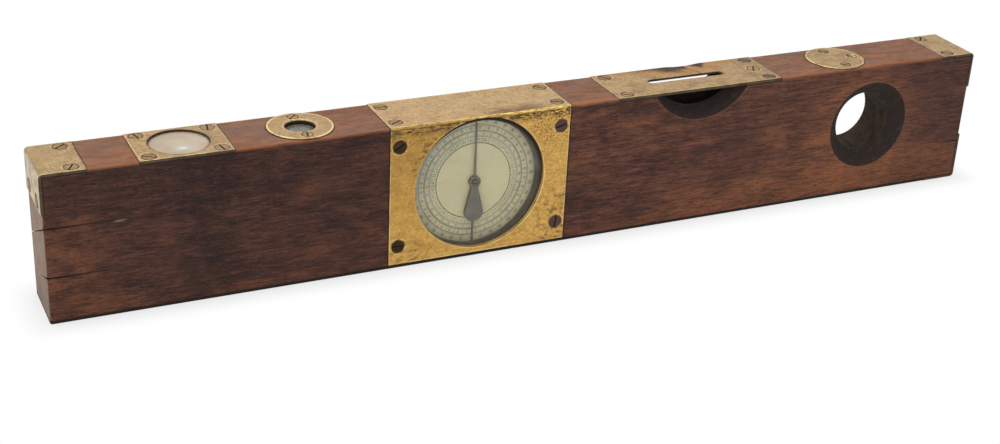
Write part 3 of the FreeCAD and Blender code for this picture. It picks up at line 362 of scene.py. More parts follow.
def joints_in_wood(s):
    """1 in the dark joints where brass is let into the wood."""
    up, front = s.facing_z.rise(0.5, 0.8), s.facing_y.rise(-0.5, -0.8)
    lines = []
    for name in ("compass_plate", "dial_top_plate", "vial_plate"):
        low, high = reach(name)
        past = abs(s.x - middle(name).x) - (high.x - low.x) / 2
        lines.append(abs(past).rise(0.9, 0.3) * up)
        lines.append((low.z - s.z).rise(1.2, 0.4) * past.rise(0.6, 0.1) * front)
    for name in ("bullseye_ring", "plumb_cover"):
        low, high = reach(name)
        past = s.from_point(s.x, s.y, middle(name).x, 0.0) - (high.x - low.x) / 2
        lines.append(abs(past).rise(1.0, 0.3) * up)
    low, high = reach("dial_front_plate")
    past = abs(s.x - middle("dial_front_plate").x) - (high.x - low.x) / 2
    lines.append(abs(past).rise(1.1, 0.4) * front)
    lines.append((low.z - s.z).rise(0.9, 0.2) * past.rise(0.6, 0.1) * front)
    for name, upper in (("tip_top_left", True), ("tip_top_right", True), ("tip_bottom_right", False)):
        low, high = reach(name)
        leg, end = (high.x - low.x), max(abs(low.x), abs(high.x))
        along = s.x * (-1.0 if name.endswith("left") else 1.0)
        tall = (s.z - low.z) if upper else (high.z - s.z)
        lines.append(abs(along - (end - TIP_THICKNESS)).rise(0.9, 0.4) * tall.rise(-0.3, 0.3) * front)
        over_leg = along.rise(end - leg - 0.5, end - leg) * front
        lines.append(tall.near(high.z - low.z - TIP_THICKNESS, 0.4, 0.5) * over_leg)
        lines.append(abs(along - (end - leg)).rise(0.9, 0.3) * abs(s.facing_z).rise(0.5, 0.8)
                     * tall.rise(-0.3, 0.3))
    return reduce(Shade.most, lines)


class LEVEL_OT_wood(bpy.types.Operator):
    """Finish the hardwood bar: grain, stain, wear, blackened openings and end grain"""

    bl_idname = "level.wood"
    bl_label = "Wooden bar"

    def execute(self, context):
        look = context.scene.level_wood
        s = Surface("hardwood")
        low, high = reach("level_body")
        bore, notch = opening_middle("plumb_opening"), opening_middle("half_moon_notch")
        long, wide = look.grain_length / MM, look.grain_width / MM
        streak = s.noise(long, wide, wide, detail=3.0, roughness=0.6)
        figure = s.noise(60, 4, 4, detail=3.0, distortion=0.5)
        pores = s.noise(3.2, 0.35, 0.35, detail=2.0, seed=3.0)
        wood = self.front(s, look, low, bore, streak, figure, pores)
        up = s.facing_z.rise(0.55, 0.85)
        wood = s.blend(up, wood, self.top(s, look, streak, figure))
        wood = s.blend(abs(s.facing_x).rise(0.6, 0.9), wood, self.end_grain(s, look))

        # pale line along the upper edges, partly worn wood and partly a painted highlight, and a painted shadow
        # along the foot where the bar meets the floor
        arris_wear_and_highlight = s.z.rise(high.z - 2.2, high.z - 0.6) * abs(s.y).rise(high.y - 1.7, high.y - 0.6)
        rubbed = s.noise(22, 3, 3, detail=4.0, seed=9.0).rise(0.30, 0.55)
        wood = s.blend(arris_wear_and_highlight * (rubbed * 0.6 + 0.12), wood, look.bare_and_edge_highlight)
        wood = s.blend((s.z + s.noise(9.0, seed=1.0)).rise(3.4, 2.2), wood, srgb(30, 21, 18))

        # black stain inside the openings, worn brown in places, and the same black in the mortise as painted shade
        # under the vial plate
        from_bore = s.from_point(s.x, s.z, bore.x, bore.z)
        from_notch = s.from_point(s.x, s.z, notch.x, NOTCH_Z)
        in_bore = from_bore.rise(BORE_RADIUS + 0.1, BORE_RADIUS - 0.5)
        in_notch = from_notch.rise(NOTCH_RADIUS + 0.1, NOTCH_RADIUS - 0.5)
        low_plate, high_plate = reach("vial_plate")
        mortise_painted_shade = (abs(s.y).rise(12.5, 10.5) * s.z.rise(58, 64)
                      * abs(s.x - middle("vial_plate").x).rise((high_plate.x - low_plate.x) / 2 - 1, 52))
        inside = in_bore.most(in_notch).most(mortise_painted_shade)
        scuffed = s.noise(5, 3, 5, detail=5.0, roughness=0.65, seed=6.0).rise(0.48, 0.72)
        black = s.blend(scuffed * 0.45, look.blacking_and_mortise_shade, srgb(92, 74, 56))
        black = s.blend(s.noise(1.1, detail=2.0, seed=2.0).rise(0.58, 0.7) * 0.5, black, srgb(24, 19, 18))
        throat = from_bore.rise(BORE_RADIUS - 8.5, BORE_RADIUS - 10.5)
        browned = throat * s.noise(9, 5, 5, detail=5.0, seed=4.0).rise(0.35, 0.6)
        black = s.blend(browned * 0.5, black, srgb(104, 84, 54))
        wood = s.blend(inside, wood, black)
        worn = s.noise(14.0, detail=3.0, seed=12.0).rise(0.35, 0.6)
        mouths = from_bore.near(BORE_RADIUS + 0.4, 0.2, 0.6)
        mouths = mouths.most(from_notch.near(NOTCH_RADIUS + 0.4, 0.2, 0.6))
        wood = s.blend(mouths * worn * abs(s.y).rise(high.y - 0.5, high.y - 0.1) * 0.12, wood, look.bare_and_edge_highlight)

        # dirt in the joints round the brass, and painted shade inside the cracks
        wood = s.blend(joints_in_wood(s) * 0.85, wood, srgb(30, 21, 18))
        wood = s.blend(crack_depths(s, low, high), wood, srgb(22, 15, 12))

        dents = s.noise(7, 5, 5, seed=1.0)
        relief = s.relief(streak * 0.5 - pores.rise(0.56, 0.66) * 0.7 + dents * 1.2, 0.16)
        shine = 0.5 + figure * 0.12 + pores * 0.1 + inside * 0.15
        dress(s.finish({"Base Color": wood, "Roughness": shine, "Normal": relief,
                        "Specular IOR Level": 0.2}), "hardwood", "level_body")
        return {"FINISHED"}

    def front(self, s, look, low, bore, streak, figure, pores):
        """The long sides: darker to the left, blotched, and worn brown low down and round the bore."""
        fibres = s.noise(7.0, 0.8, 0.8, detail=3.0, roughness=0.6, seed=31.0)
        grain = streak.rise(0.34, 0.66) * 0.6 + figure.rise(0.3, 0.7) * 0.4
        wood = s.blend(grain, look.dark, look.light)
        wood = s.blend(s.noise(30, 14, 14, detail=4.0, seed=7.0).rise(0.52, 0.70) * 0.35, wood, look.bare_and_edge_highlight)

        # worn lighter low on the front, most at the right and in the lower left corner
        worn_to = s.x.rise(20, 170) * 23 + s.x.rise(low.x + 70, low.x) * 22 + 6
        low_down = (worn_to - s.z + (s.noise(60, 14, 10, detail=4.0, seed=2.0) - 0.5) * 26).rise(-4, 7)
        wood = s.blend(low_down * (streak.rise(0.35, 0.6) * 0.34 + 0.18), wood, look.bare_and_edge_highlight)
        halo = s.from_point(s.x, s.z, bore.x - 6, bore.z - 4).rise(BORE_RADIUS + 26, BORE_RADIUS + 2)
        wood = s.blend(halo * (streak.rise(0.35, 0.65) * 0.3 + 0.10), wood, look.bare_and_edge_highlight)
        cracked = s.from_point(s.x, s.z * 0.9, low.x + 6, 38.0).rise(44, 8)
        patchy = s.noise(12, 10, 8, detail=4.0, seed=13.0).rise(0.35, 0.6)
        wood = s.blend(cracked * patchy * 0.45, wood, look.bare_and_edge_highlight)

        # dark clouds of oil, feathered along the grain, with two smudges across it
        ragged = (fibres - 0.5) * 0.22
        cloud = (s.noise(46, 24, 24, detail=5.0, roughness=0.6, seed=0.0) + ragged).rise(0.46, 0.66)
        patch = (s.noise(20, 12, 12, detail=4.0, seed=15.0) + ragged).rise(0.48, 0.66)
        smudge = s.x.near(-214, 8, 16).most(s.x.near(-96, 6, 14) * s.z.rise(20, 34))
        smudge = smudge * (s.noise(16, 18, 18, detail=4.0, seed=19.0) + ragged).rise(0.36, 0.56)
        calm = 1.0 - s.x.rise(50, 130) * 0.5
        wood = s.blend(cloud * calm * 0.66, wood, look.stain)
        wood = s.blend(patch * calm * 0.42, wood, look.stain)
        wood = s.blend(smudge * 0.6, wood, look.stain)
        # darker towards both ends and high at the left
        darker_at_ends = s.x.rise(60, -150) * 0.38 + s.x.rise(225, 275) * 0.28
        darker_at_ends = darker_at_ends + s.z.rise(52, 84) * s.x.rise(-40, -220) * 0.24
        wood = s.blend(darker_at_ends, wood, look.stain)

        # dark and light fibres over it all, pores and flecks of bare wood
        wood = s.blend(fibres.rise(0.50, 0.66) * calm * 0.44, wood, look.stain)
        wood = s.blend(fibres.rise(0.46, 0.32) * 0.22, wood, look.light)
        wood = s.dim(pores.rise(0.54, 0.66) * 0.6, wood, srgb(120, 96, 90))
        flecks = s.noise(2.2, 0.7, 0.7, detail=2.0, seed=21.0).rise(0.62, 0.72)
        wood = s.blend(flecks * 0.45, wood, look.bare_and_edge_highlight)

        # the cracks close to hairlines on the front, with a pale scuff behind the upper one
        on_front = s.facing_y.rise(-0.5, -0.8)
        scuff = s.from_point((s.x - low.x - 41.0) * 0.25, s.z, 0.0, 56.6).rise(1.3, 0.4)
        scuff = scuff * streak.rise(0.35, 0.55) * on_front
        wood = s.blend(scuff * 0.5, wood, srgb(176, 142, 122))
        hairlines = [abs(s.z - start).rise(0.55, 0.15) * (s.x - low.x).rise(end, end - 24)
                     for start, _, end in LEFT_CRACKS]
        return s.blend(reduce(Shade.most, hairlines) * on_front * 0.8, wood, srgb(30, 20, 17))

    def top(self, s, look, streak, figure):
        """The top face, rubbed lighter and mottled."""
        fibres = s.noise(14.0, 1.3, 1.3, detail=3.0, roughness=0.6, seed=33.0)
        grain = streak.rise(0.34, 0.66) * 0.55 + figure.rise(0.3, 0.7) * 0.45
        top = s.blend(grain, darker(look.top, 0.56), look.top)
        clouds = s.noise(22, 10, 10, detail=5.0, seed=5.0).rise(0.46, 0.64)
        top = s.blend(clouds * 0.5, top, darker(look.top, 0.42))
        top = s.blend(s.noise(26, 8, 8, detail=4.0, seed=8.0).rise(0.50, 0.68) * 0.5, top, look.bare_and_edge_highlight)
        front_edge = s.y.rise(-10, -18) * s.noise(18, 4, 4, seed=14.0).rise(0.40, 0.6)
        top = s.blend(front_edge * 0.4, top, look.bare_and_edge_highlight)
        mottle = s.noise(9, 5, 5, detail=5.0, roughness=0.65, seed=35.0).rise(0.46, 0.62)
        top = s.blend(mottle * 0.4, top, darker(look.top, 0.3))
        top = s.blend(fibres.rise(0.52, 0.64) * 0.5, top, darker(look.top, 0.3))
        greyer = s.noise(40, 20, 20, detail=3.0, seed=11.0).rise(0.45, 0.65)
        return s.blend(greyer * 0.3, top, srgb(128, 104, 96))

    def end_grain(self, s, look):
        """Bare end grain with its rings, stained in patches."""
        rings = s.noise(60, 3.2, 1.1, detail=4.0, distortion=1.2)
        ends = s.blend(rings.rise(0.3, 0.7), darker(look.end_grain, 0.62), look.end_grain)
        ends = s.blend(s.noise(30, 12, 12, detail=4.0, seed=4.0).rise(0.46, 0.68) * 0.6, ends, look.light)
        pitted = s.noise(1.0, detail=3.0, seed=17.0).rise(0.55, 0.7)
        ends = s.blend(pitted * 0.4, ends, darker(look.end_grain, 0.35))
        return s.blend(s.z.rise(30, 6) * 0.3, ends, srgb(84, 70, 62))


class AgedBrass(Surface):
    """Old brass: brown mottling, dark pits, fine scratches, rubbed edges, and dirt and painted shade in corners.
    """

    def __init__(self, name, look, tone, mottling=0.5, pits=0.3, grit=0.6, rough=0.38, along="x", seed=0.0):
        super().__init__(name)
        self.look, self.pits = look, pits
        lines = (14.0, 0.35, 0.35) if along == "x" else (0.35, 14.0, 14.0)
        self.cloud = self.noise(13, 9, 9, detail=6.0, roughness=0.68, seed=seed)
        self.grime = self.noise(1.7, detail=4.0, roughness=0.65, seed=seed + 2)
        self.scratches = self.noise(*lines, detail=4.0, roughness=0.7, seed=seed + 3)
        self.spots = (self.cells(2.4).rise(0.26, 0.14)
                      * self.noise(10.0, seed=seed + 6).rise(0.48, 0.6))
        self.tone = self.blend(self.cloud.rise(0.42, 0.66) * mottling, tone, look.tarnish)
        self.tone = self.dim(self.grime.rise(0.45, 0.68) * grit, self.tone, srgb(176, 158, 134))
        self.tone = self.dim(self.scratches.rise(0.5, 0.66) * 0.45, self.tone, srgb(186, 170, 150))
        self.tone = self.blend(self.scratches.rise(0.46, 0.34) * 0.2, self.tone, look.bright)
        self.tone = self.blend(self.spots * pits, self.tone, look.dirt_and_shade)
        self.shine = rough + self.cloud * 0.14 + self.scratches * 0.1
        self.polish = 1.0 - self.spots * pits * 0.7

    def stain(self, mask, colour, share):
        self.tone = self.blend(mask * share, self.tone, colour)

    def rub(self, mask, share=0.7):
        self.tone = self.blend(mask * share, self.tone, self.look.bright)
        self.shine = self.shine - mask * 0.08

    # darkens with the dirt colour, for real dirt and for painted shade on edges, walls and in slots
    def soil_and_shade(self, mask, share=0.85):
        self.tone = self.blend(mask * share, self.tone, self.look.dirt_and_shade)
        self.shine = self.shine + mask * 0.25
        self.polish = self.polish - mask * 0.6

    def soil_and_shade_edges(self):
        """Dirt and painted shade on the sheet's narrow edges that look out of the bar's sides."""
        self.soil_and_shade(abs(self.facing_y).rise(0.55, 0.85), 0.88)

    def seat_screws(self, distance, radius):
        """Dirt and painted shade under screw heads of this radius, and dirt in a broken line round them."""
        self.soil_and_shade(distance.rise(radius + 0.05, radius - 0.15), 0.95)
        worn = self.noise(2.5, detail=3.0, seed=5.0)
        self.soil_and_shade(distance.near(radius + 0.15, 0.1, 0.5) * worn.rise(0.3, 0.55), 0.75)
        self.rub(distance.near(radius + 0.95, 0.1, 0.4) * worn.rise(0.55, 0.4), 0.45)

    def done(self):
        height = self.grime * 0.6 + self.scratches * 0.4 - self.spots * self.pits
        return self.finish({"Base Color": self.tone, "Roughness": self.shine, "Metallic": self.polish,
                            "Normal": self.relief(height, 0.06)})


def rim(s, node, margin=0.9):
    """1 along the outline of a plate, seen from above."""
    low, high = reach(node)
    sides = (s.x - low.x).least(high.x - s.x).least((s.y - low.y).least(high.y - s.y))
    return sides.rise(margin, 0.1) * s.noise(6.0, detail=4.0, seed=4.0).rise(0.35, 0.6)


def from_corner_screws(s, node, end_inset, side_inset):
    """Distance from the nearest of the four screws of a rectangular plate, seen from above."""
    low, high = reach(node)
    at = (low + high) / 2
    return s.from_point(abs(s.x - at.x), abs(s.y - at.y), (high.x - low.x) / 2 - end_inset,
                        (high.y - low.y) / 2 - side_inset)


# Distance from the nearest screw of each plate, and the radius of its head.
def compass_screws(s):
    return from_corner_screws(s, "compass_plate", end_inset=6.0, side_inset=4.7), LARGE_HEAD


def ring_screws(s):
    return s.from_point(s.x, abs(s.y), middle("bullseye_ring").x, 13.3), SMALL_HEAD


def dial_top_screws(s):
    return from_corner_screws(s, "dial_top_plate", end_inset=5.8, side_inset=7.5), LARGE_HEAD


def dial_front_screws(s):
    at, level, beside, above = middle("dial_front_plate"), 45.55, 51.35, 31.55
    return s.from_point(abs(s.x - at.x), abs(s.z - level), beside, above), LARGE_HEAD


def vial_screws(s):
    (low, high), aside = reach("vial_plate"), 14.6
    left = s.from_point(s.x, abs(s.y), low.x + 7.6, aside)
    return left.least(s.from_point(s.x, abs(s.y), high.x - 6.6, aside)), LARGE_HEAD


def vial_adjuster(s):
    return s.from_point(s.x, s.y, reach("vial_plate")[1].x - 9.1, 0.0), LARGE_HEAD


def cover_screws(s):
    return s.from_point(s.x, abs(s.y), middle("plumb_cover").x, 12.4), SMALL_HEAD


def cover_adjuster(s):
    return s.from_point(s.x, s.y, middle("plumb_cover").x + 13.2, 0.0), SMALL_HEAD


def tip_screws(s, name):
    """A tip has two screws in its leg and two in its end."""
    low, high = reach(name)
    end, inset = max(abs(low.x), abs(high.x)), 18.6
    level = high.z - inset if "top" in name else inset
    on_leg = s.from_point(abs(s.x), abs(s.y), end - 18.3, 14.2) + abs(s.facing_z).rise(0.8, 0.5) * 9.0
    on_end = s.from_point(abs(s.y), s.z, 10.5, level) + abs(s.facing_x).rise(0.8, 0.5) * 9.0
    return on_leg.least(on_end), LARGE_HEAD


class LEVEL_OT_top_brass(bpy.types.Operator):
    """Finish the brass plates, ring and cover that are let into the top face"""

    bl_idname = "level.top_brass"
    bl_label = "Top plates"

    def execute(self, context):
        look = context.scene.level_brass
        self.compass_plate(look)
        self.ring(look)
        self.dial_top(look)
        self.vial_plate(look)
        self.cover(look)
        return {"FINISHED"}

    def compass_plate(self, look):
        s = AgedBrass("compass_plate_brass", look, look.plate, mottling=0.45, pits=0.4)
        at = middle("compass_plate")
        out = s.from_point(s.x, s.y, at.x, 0.0)
        s.rub(rim(s, "compass_plate"))
        browned = (s.x - at.x).rise(2, 18) * s.noise(9.0, detail=4.0, seed=7.0).rise(0.35, 0.6)
        s.stain(browned, srgb(136, 112, 88), 0.35)
        # dirt round the window's edge, and painted shade on its wall
        s.soil_and_shade(out.near(COMPASS_WINDOW + 0.3, 0.1, 0.5), 0.7)
        s.soil_and_shade(out.rise(COMPASS_WINDOW + 0.3, COMPASS_WINDOW + 0.1), 0.8)

        # a scribed line runs on from the window to both sides
        past = abs(s.x - at.x) - COMPASS_WINDOW
        s.soil_and_shade(s.y.near(0.0, 0.12, 0.15) * past.rise(0.2, 0.8) * past.rise(6.6, 5.6), 0.7)
        s.seat_screws(*compass_screws(s))
        s.soil_and_shade_edges()
        dress(s.done(), "brass", "compass_plate")

    def ring(self, look):
        s = AgedBrass("ring_brass", look, look.plate, mottling=0.4, pits=0.3, seed=11.0)
        low, high = reach("bullseye_ring")
        out, edge = s.from_point(s.x, s.y, middle("bullseye_ring").x, 0.0), (high.x - low.x) / 2
        s.rub(out.rise(edge - 1.4, edge - 0.6) * s.noise(8.0, detail=3.0, seed=3.0).rise(0.3, 0.5), 0.8)
        s.rub(out.near(EYE_WINDOW + 1.1, 0.2, 0.3), 0.4)
        # painted shade at the window's edge and on the ring's side walls
        s.soil_and_shade(out.rise(EYE_WINDOW + 0.4, EYE_WINDOW + 0.1), 0.9)
        s.soil_and_shade(s.facing_z.rise(0.4, 0.15), 0.8)
        s.seat_screws(*ring_screws(s))
        dress(s.done(), "brass", "bullseye_ring")

    def dial_top(self, look):
        s = AgedBrass("dial_top_brass", look, darker(look.plate, 1.14), mottling=0.3, pits=0.3, seed=21.0)
        at = middle("dial_top_plate")
        low, high = reach("dial_top_plate")
        right, down = (s.x - at.x) / (high.x - at.x), high.z - s.z
        s.rub(rim(s, "dial_top_plate", 1.2), 0.5)
        s.stain((s.y - low.y).rise(14, 3) * (s.x - at.x).near(22, 10, 14)
                * s.noise(7, 4, 4, detail=4.0, seed=9.0).rise(0.34, 0.5), srgb(112, 80, 60), 0.8)
        near_front = (s.y - low.y).rise(3.0, 0.4)
        crusted = s.cells(1.3, 0.8, 0.8).rise(0.45, 0.25) * s.noise(8.0, seed=2.0).rise(0.42, 0.58)
        s.soil_and_shade(near_front * crusted, 0.7)

        # the front edge is golden like the plate under it, with fresh specks and a painted highlight along the
        # arris, both strongest at the right
        edge_on = s.facing_y.rise(-0.45, -0.75)
        s.stain(edge_on, darker(look.front, 0.75), 0.85)
        crumbled = s.noise(3.0, 1.0, 0.8, detail=4.0, roughness=0.7, seed=7.0)
        s.soil_and_shade(edge_on * down.rise(1.0, 1.9) * crumbled.rise(0.40, 0.54), 0.9)
        s.soil_and_shade(edge_on * crumbled.rise(0.54, 0.64), 0.65)
        arris_wear_and_highlight = (s.y - low.y).rise(1.5, 0.5) * down.rise(1.3, 0.6)
        s.stain(arris_wear_and_highlight * crumbled.rise(0.58, 0.44) * (right.rise(-0.6, 0.4) * 0.8 + 0.2), look.gold, 0.95)
        # a near-white painted highlight along the arris
        s.stain(arris_wear_and_highlight * crumbled.rise(0.46, 0.38) * right.rise(-0.3, 0.3), srgb(255, 240, 176), 0.9)
        s.seat_screws(*dial_top_screws(s))
        dress(s.done(), "brass", "dial_top_plate")

    def vial_plate(self, look):
        s = AgedBrass("vial_plate_brass", look, look.plate, mottling=0.5, pits=0.25, seed=31.0)
        at, high = middle("vial_plate"), reach("vial_plate")[1]
        slot = opening_middle("reading_slot")
        s.rub(rim(s, "vial_plate"), 0.5)
        s.soil_and_shade(abs(s.x - slot.x).rise(29.0, 26.8) * abs(s.y).rise(4.0, 2.8)
               * s.noise(4.0, seed=3.0).rise(0.3, 0.6), 0.45)

        # dark and gold marks round the dent in the rear edge, split by a dark diagonal line
        behind = high.y - s.y
        ragged = (s.noise(7, 4, 4, detail=5.0, seed=9.0) - 0.5) * 9.0
        rear_edge_marks = (behind + abs(s.x - at.x + 1.5) * 0.42 + ragged).rise(15.0, 5.0)
        rear_edge_marks = rear_edge_marks * s.x.rise(at.x + 10, at.x + 8)
        second = (behind + abs(s.x - at.x - 17.5) * 1.3 + ragged * 0.6).rise(11.0, 5.0)
        s.stain((behind + abs(s.x - at.x - 6) * 0.3 + ragged).rise(24.0, 10.0), srgb(170, 116, 48), 0.6)
        s.soil_and_shade(rear_edge_marks.most(second), 0.92)
        diagonal_line = (s.x - at.x - 5.0 - behind * 0.45).near(0.0, 0.2, 0.35)
        s.soil_and_shade(diagonal_line * behind.rise(17.5, 15.5), 0.95)
        s.soil_and_shade((s.x - at.x - 42.4).near(0.0, 0.12, 0.2), 0.7)
        s.stain((s.x - at.x).rise(36, 46) * 0.5, srgb(150, 118, 82), 0.8)
        for distance, radius in (vial_screws(s), vial_adjuster(s)):
            s.seat_screws(distance, radius)
        s.soil_and_shade_edges()
        dress(s.done(), "brass", "vial_plate")

    def cover(self, look):
        s = AgedBrass("cover_brass", look, look.plate, mottling=0.5, pits=0.2, seed=41.0)
        low, high = reach("plumb_cover")
        out, edge = s.from_point(s.x, s.y, middle("plumb_cover").x, 0.0), (high.x - low.x) / 2
        s.rub(out.rise(edge - 1.7, edge - 0.5) * s.noise(8.0, detail=3.0, seed=3.0).rise(0.4, 0.6), 0.6)
        # painted shade on the cover's side walls
        s.soil_and_shade(s.facing_z.rise(0.4, 0.15), 0.85)
        for distance, radius in (cover_screws(s), cover_adjuster(s)):
            s.seat_screws(distance, radius)
        dress(s.done(), "brass", "plumb_cover")


class LEVEL_OT_tips(bpy.types.Operator):
    """Finish the three bent brass end tips"""

    bl_idname = "level.tips"
    bl_label = "End tips"

    def execute(self, context):
        look = context.scene.level_brass
        for seed, name in enumerate(("tip_top_left", "tip_top_right", "tip_bottom_right")):
            s = AgedBrass(name + "_brass", look, look.plate, mottling=0.45, pits=0.3, along="y",
                          seed=51.0 + seed)
            end = abs(s.facing_x).rise(0.5, 0.85)
            if name == "tip_top_left":
                s.stain(end, look.silvered, 0.9)
                browned = s.z.rise(84, 88) * s.noise(10.0, detail=4.0, seed=8.0).rise(0.4, 0.6)
                s.stain(browned, srgb(150, 132, 92), 0.5)
            s.rub(rim(s, name), 0.45)
            low, high = reach(name)
            past = (s.x - high.x) if name == "tip_top_left" else (low.x - s.x)
            s.soil_and_shade(past.rise(-1.0, -0.2) * s.noise(4.0, seed=3.0).rise(0.3, 0.6), 0.6)
            s.seat_screws(*tip_screws(s, name))
            s.soil_and_shade_edges()
            dress(s.done(), "brass", name)
        return {"FINISHED"}


class LEVEL_OT_front_plate(bpy.types.Operator):
    """Finish the golden plate round the dial window"""

    bl_idname = "level.front_plate"
    bl_label = "Front plate"

    def execute(self, context):
        look = context.scene.level_brass
        s = AgedBrass("front_plate_brass", look, look.front, mottling=0.3, pits=0.25, grit=0.35, rough=0.40,
                      seed=61.0)
        low, high = reach("dial_front_plate")
        at = middle("dial_front_plate")
        pivot = joint_place("pendulum_swing")
        right, up = (s.x - at.x) / (high.x - at.x), (s.z - low.z) / (high.z - low.z)
        out = s.from_point(s.x, s.z, at.x, pivot.z + WINDOW_RISE)

        # fine mottling all over, browner at the left, with a paler gold at the lower right
        mottle = s.noise(2.2, 2.2, 1.4, detail=4.0, roughness=0.6, seed=62.0)
        s.stain(mottle.rise(0.48, 0.66), srgb(150, 108, 50), 0.32)
        s.stain(mottle.rise(0.5, 0.34) * (right.rise(-0.6, 0.6) * 0.5 + 0.3), srgb(244, 208, 136), 0.45)
        s.stain(right.rise(0.2, -0.8) * up.rise(0.2, 0.8), srgb(150, 110, 54), 0.35)

        # pitted at the upper right, stained by the lower right screw and in the lower left corner
        speckle = s.cells(1.3, 1.3, 1.3).rise(0.44, 0.24)
        thick = s.noise(8.0, detail=4.0, seed=65.0).rise(0.40, 0.56)
        s.soil_and_shade(speckle * thick * (right.rise(0.2, 0.8) * up.rise(0.5, 0.95)), 0.9)
        s.soil_and_shade(speckle * thick * right.rise(0.1, -0.7) * up.rise(0.6, 0.95) * 0.8, 0.7)
        scratched = s.noise(4.0, 1.0, 0.9, detail=5.0, roughness=0.7, seed=69.0)
        s.soil_and_shade(up.rise(0.93, 0.985) * scratched.rise(0.44, 0.56), 0.85)
        smear = s.noise(5, 5, 3, detail=5.0, seed=68.0).rise(0.48, 0.62)
        s.soil_and_shade(smear * right.rise(0.5, 0.9) * up.rise(0.55, 0.25), 0.5)
        s.soil_and_shade(smear * right.rise(-0.3, -0.8) * up.rise(0.3, 0.0), 0.4)
        upper_left = right.rise(0.0, -0.6) * up.rise(0.55, 0.8)
        s.soil_and_shade(out.near(DIAL_WINDOW + 1.9, 0.8, 3.0) * smear * upper_left, 0.55)
        s.seat_screws(*dial_front_screws(s))

        # rubbed bright along its sides, its foot and the rim of the window
        sides = (s.x - low.x).least(high.x - s.x).least(s.z - low.z)
        s.rub(sides.rise(0.8, 0.1) * s.noise(9.0, detail=4.0, seed=3.0).rise(0.35, 0.6), 0.75)
        low_right = (right * 0.6 - up + 0.3).rise(-0.4, 0.5) * 0.7 + 0.2
        broken = s.noise(9.0, detail=4.0, seed=6.0).rise(0.3, 0.55)
        s.rub(out.near(DIAL_WINDOW + 0.2, 0.2, 0.35) * broken * low_right, 0.9)
        # painted shade on the window's inner wall
        s.soil_and_shade(out.rise(DIAL_WINDOW - 0.1, DIAL_WINDOW - 0.4) * abs(s.facing_y).rise(0.6, 0.3), 0.55)
        # fresh gold specks along the top corner, with a painted highlight strongest at the right
        knocked_specks_and_highlight = up.rise(0.985, 0.995) * scratched.rise(0.5, 0.4) * (right.rise(-0.2, 0.6) * 0.8 + 0.2)
        s.stain(knocked_specks_and_highlight, look.gold, 0.9)
        dress(s.done(), "brass", "dial_front_plate")
        return {"FINISHED"}


class LEVEL_OT_screws(bpy.types.Operator):
    """Finish the screws: tarnished heads, with dirt and painted shade in their slots"""

    bl_idname = "level.screws"
    bl_label = "Screws"

    def execute(self, context):
        look = context.scene.level_brass
        dull = tuple(0.62 * a + 0.38 * b for a, b in zip(look.plate, look.tarnish))
        aged = tuple(0.5 * a + 0.5 * b for a, b in zip(look.plate, look.violet))
        upright = {
            "compass_plate_screws": (dull, compass_screws), "bullseye_screws": (look.plate, ring_screws),
            "dial_top_screws": (dull, dial_top_screws), "vial_plate_screws": (dull, vial_screws),
            "vial_adjusting_screw": (look.plate, vial_adjuster), "plumb_cover_screws": (dull, cover_screws),
            "plumb_adjusting_screw": (look.bright, cover_adjuster),
        }
        for seed, (name, (tone, places)) in enumerate(upright.items()):
            s = self.head(look, name, tone, [("z", reach(name)[1].z)], places, seed)
            if name == "vial_plate_screws":
                s.stain((s.x - middle("vial_plate").x).rise(-5, 5), look.violet, 0.8)
            if name == "plumb_adjusting_screw":
                s.soil_and_shade((s.x - middle(name).x).rise(0.8, -0.4), 0.7)
            if name == "compass_plate_screws":
                s.stain((s.x - middle("compass_plate").x).rise(-2, 2), aged, 0.7)
            self.close(s, name, "screw_brass")

        level = reach("dial_front_screws")[0].y
        s = self.head(look, "dial_front_screws", darker(look.tarnish, 0.2), [("y", level)],
                      dial_front_screws, 8)
        s.stain(1.0, srgb(56, 42, 33), 0.6)
        s.stain((s.x - middle("dial_front_plate").x).rise(-5, 5), look.violet, 0.45)
        self.close(s, "dial_front_screws", "dark_screw")

        for seed, (tip, end, face) in enumerate((("tip_top_left", 0, 1), ("tip_top_right", 1, 1),
                                                 ("tip_bottom_right", 1, 0)), start=9):
            name = tip + "_screws"
            box = reach(name)
            flats = [("x", box[end].x), ("z", box[face].z)]
            s = self.head(look, name, dull, flats, lambda made, tip=tip: tip_screws(made, tip), seed)
            self.close(s, name, "screw_brass")
        return {"FINISHED"}

    def head(self, look, name, tone, flats, places, seed):
        """Brass that is dark below the flats that the heads lie in, and round each head's edge."""
        s = AgedBrass(name + "_metal", look, tone, mottling=0.45, pits=0.4, rough=0.4, seed=71.0 + seed)
        s.depth = reduce(Shade.least, [abs(getattr(s, axis) - level) for axis, level in flats])
        distance, radius = places(s)
        s.soil_and_shade(distance.rise(radius - 0.7, radius - 0.1), 0.8)
        s.soil_and_shade(s.noise(1.4, detail=4.0, seed=float(seed)).rise(0.5, 0.66), 0.4)
        return s

    def close(self, s, name, slot):
        # dirt and painted shade in the slots, below the flats of the heads
        s.soil_and_shade(s.depth.rise(0.12, 0.35), 0.96)
        dress(s.done(), slot, name)


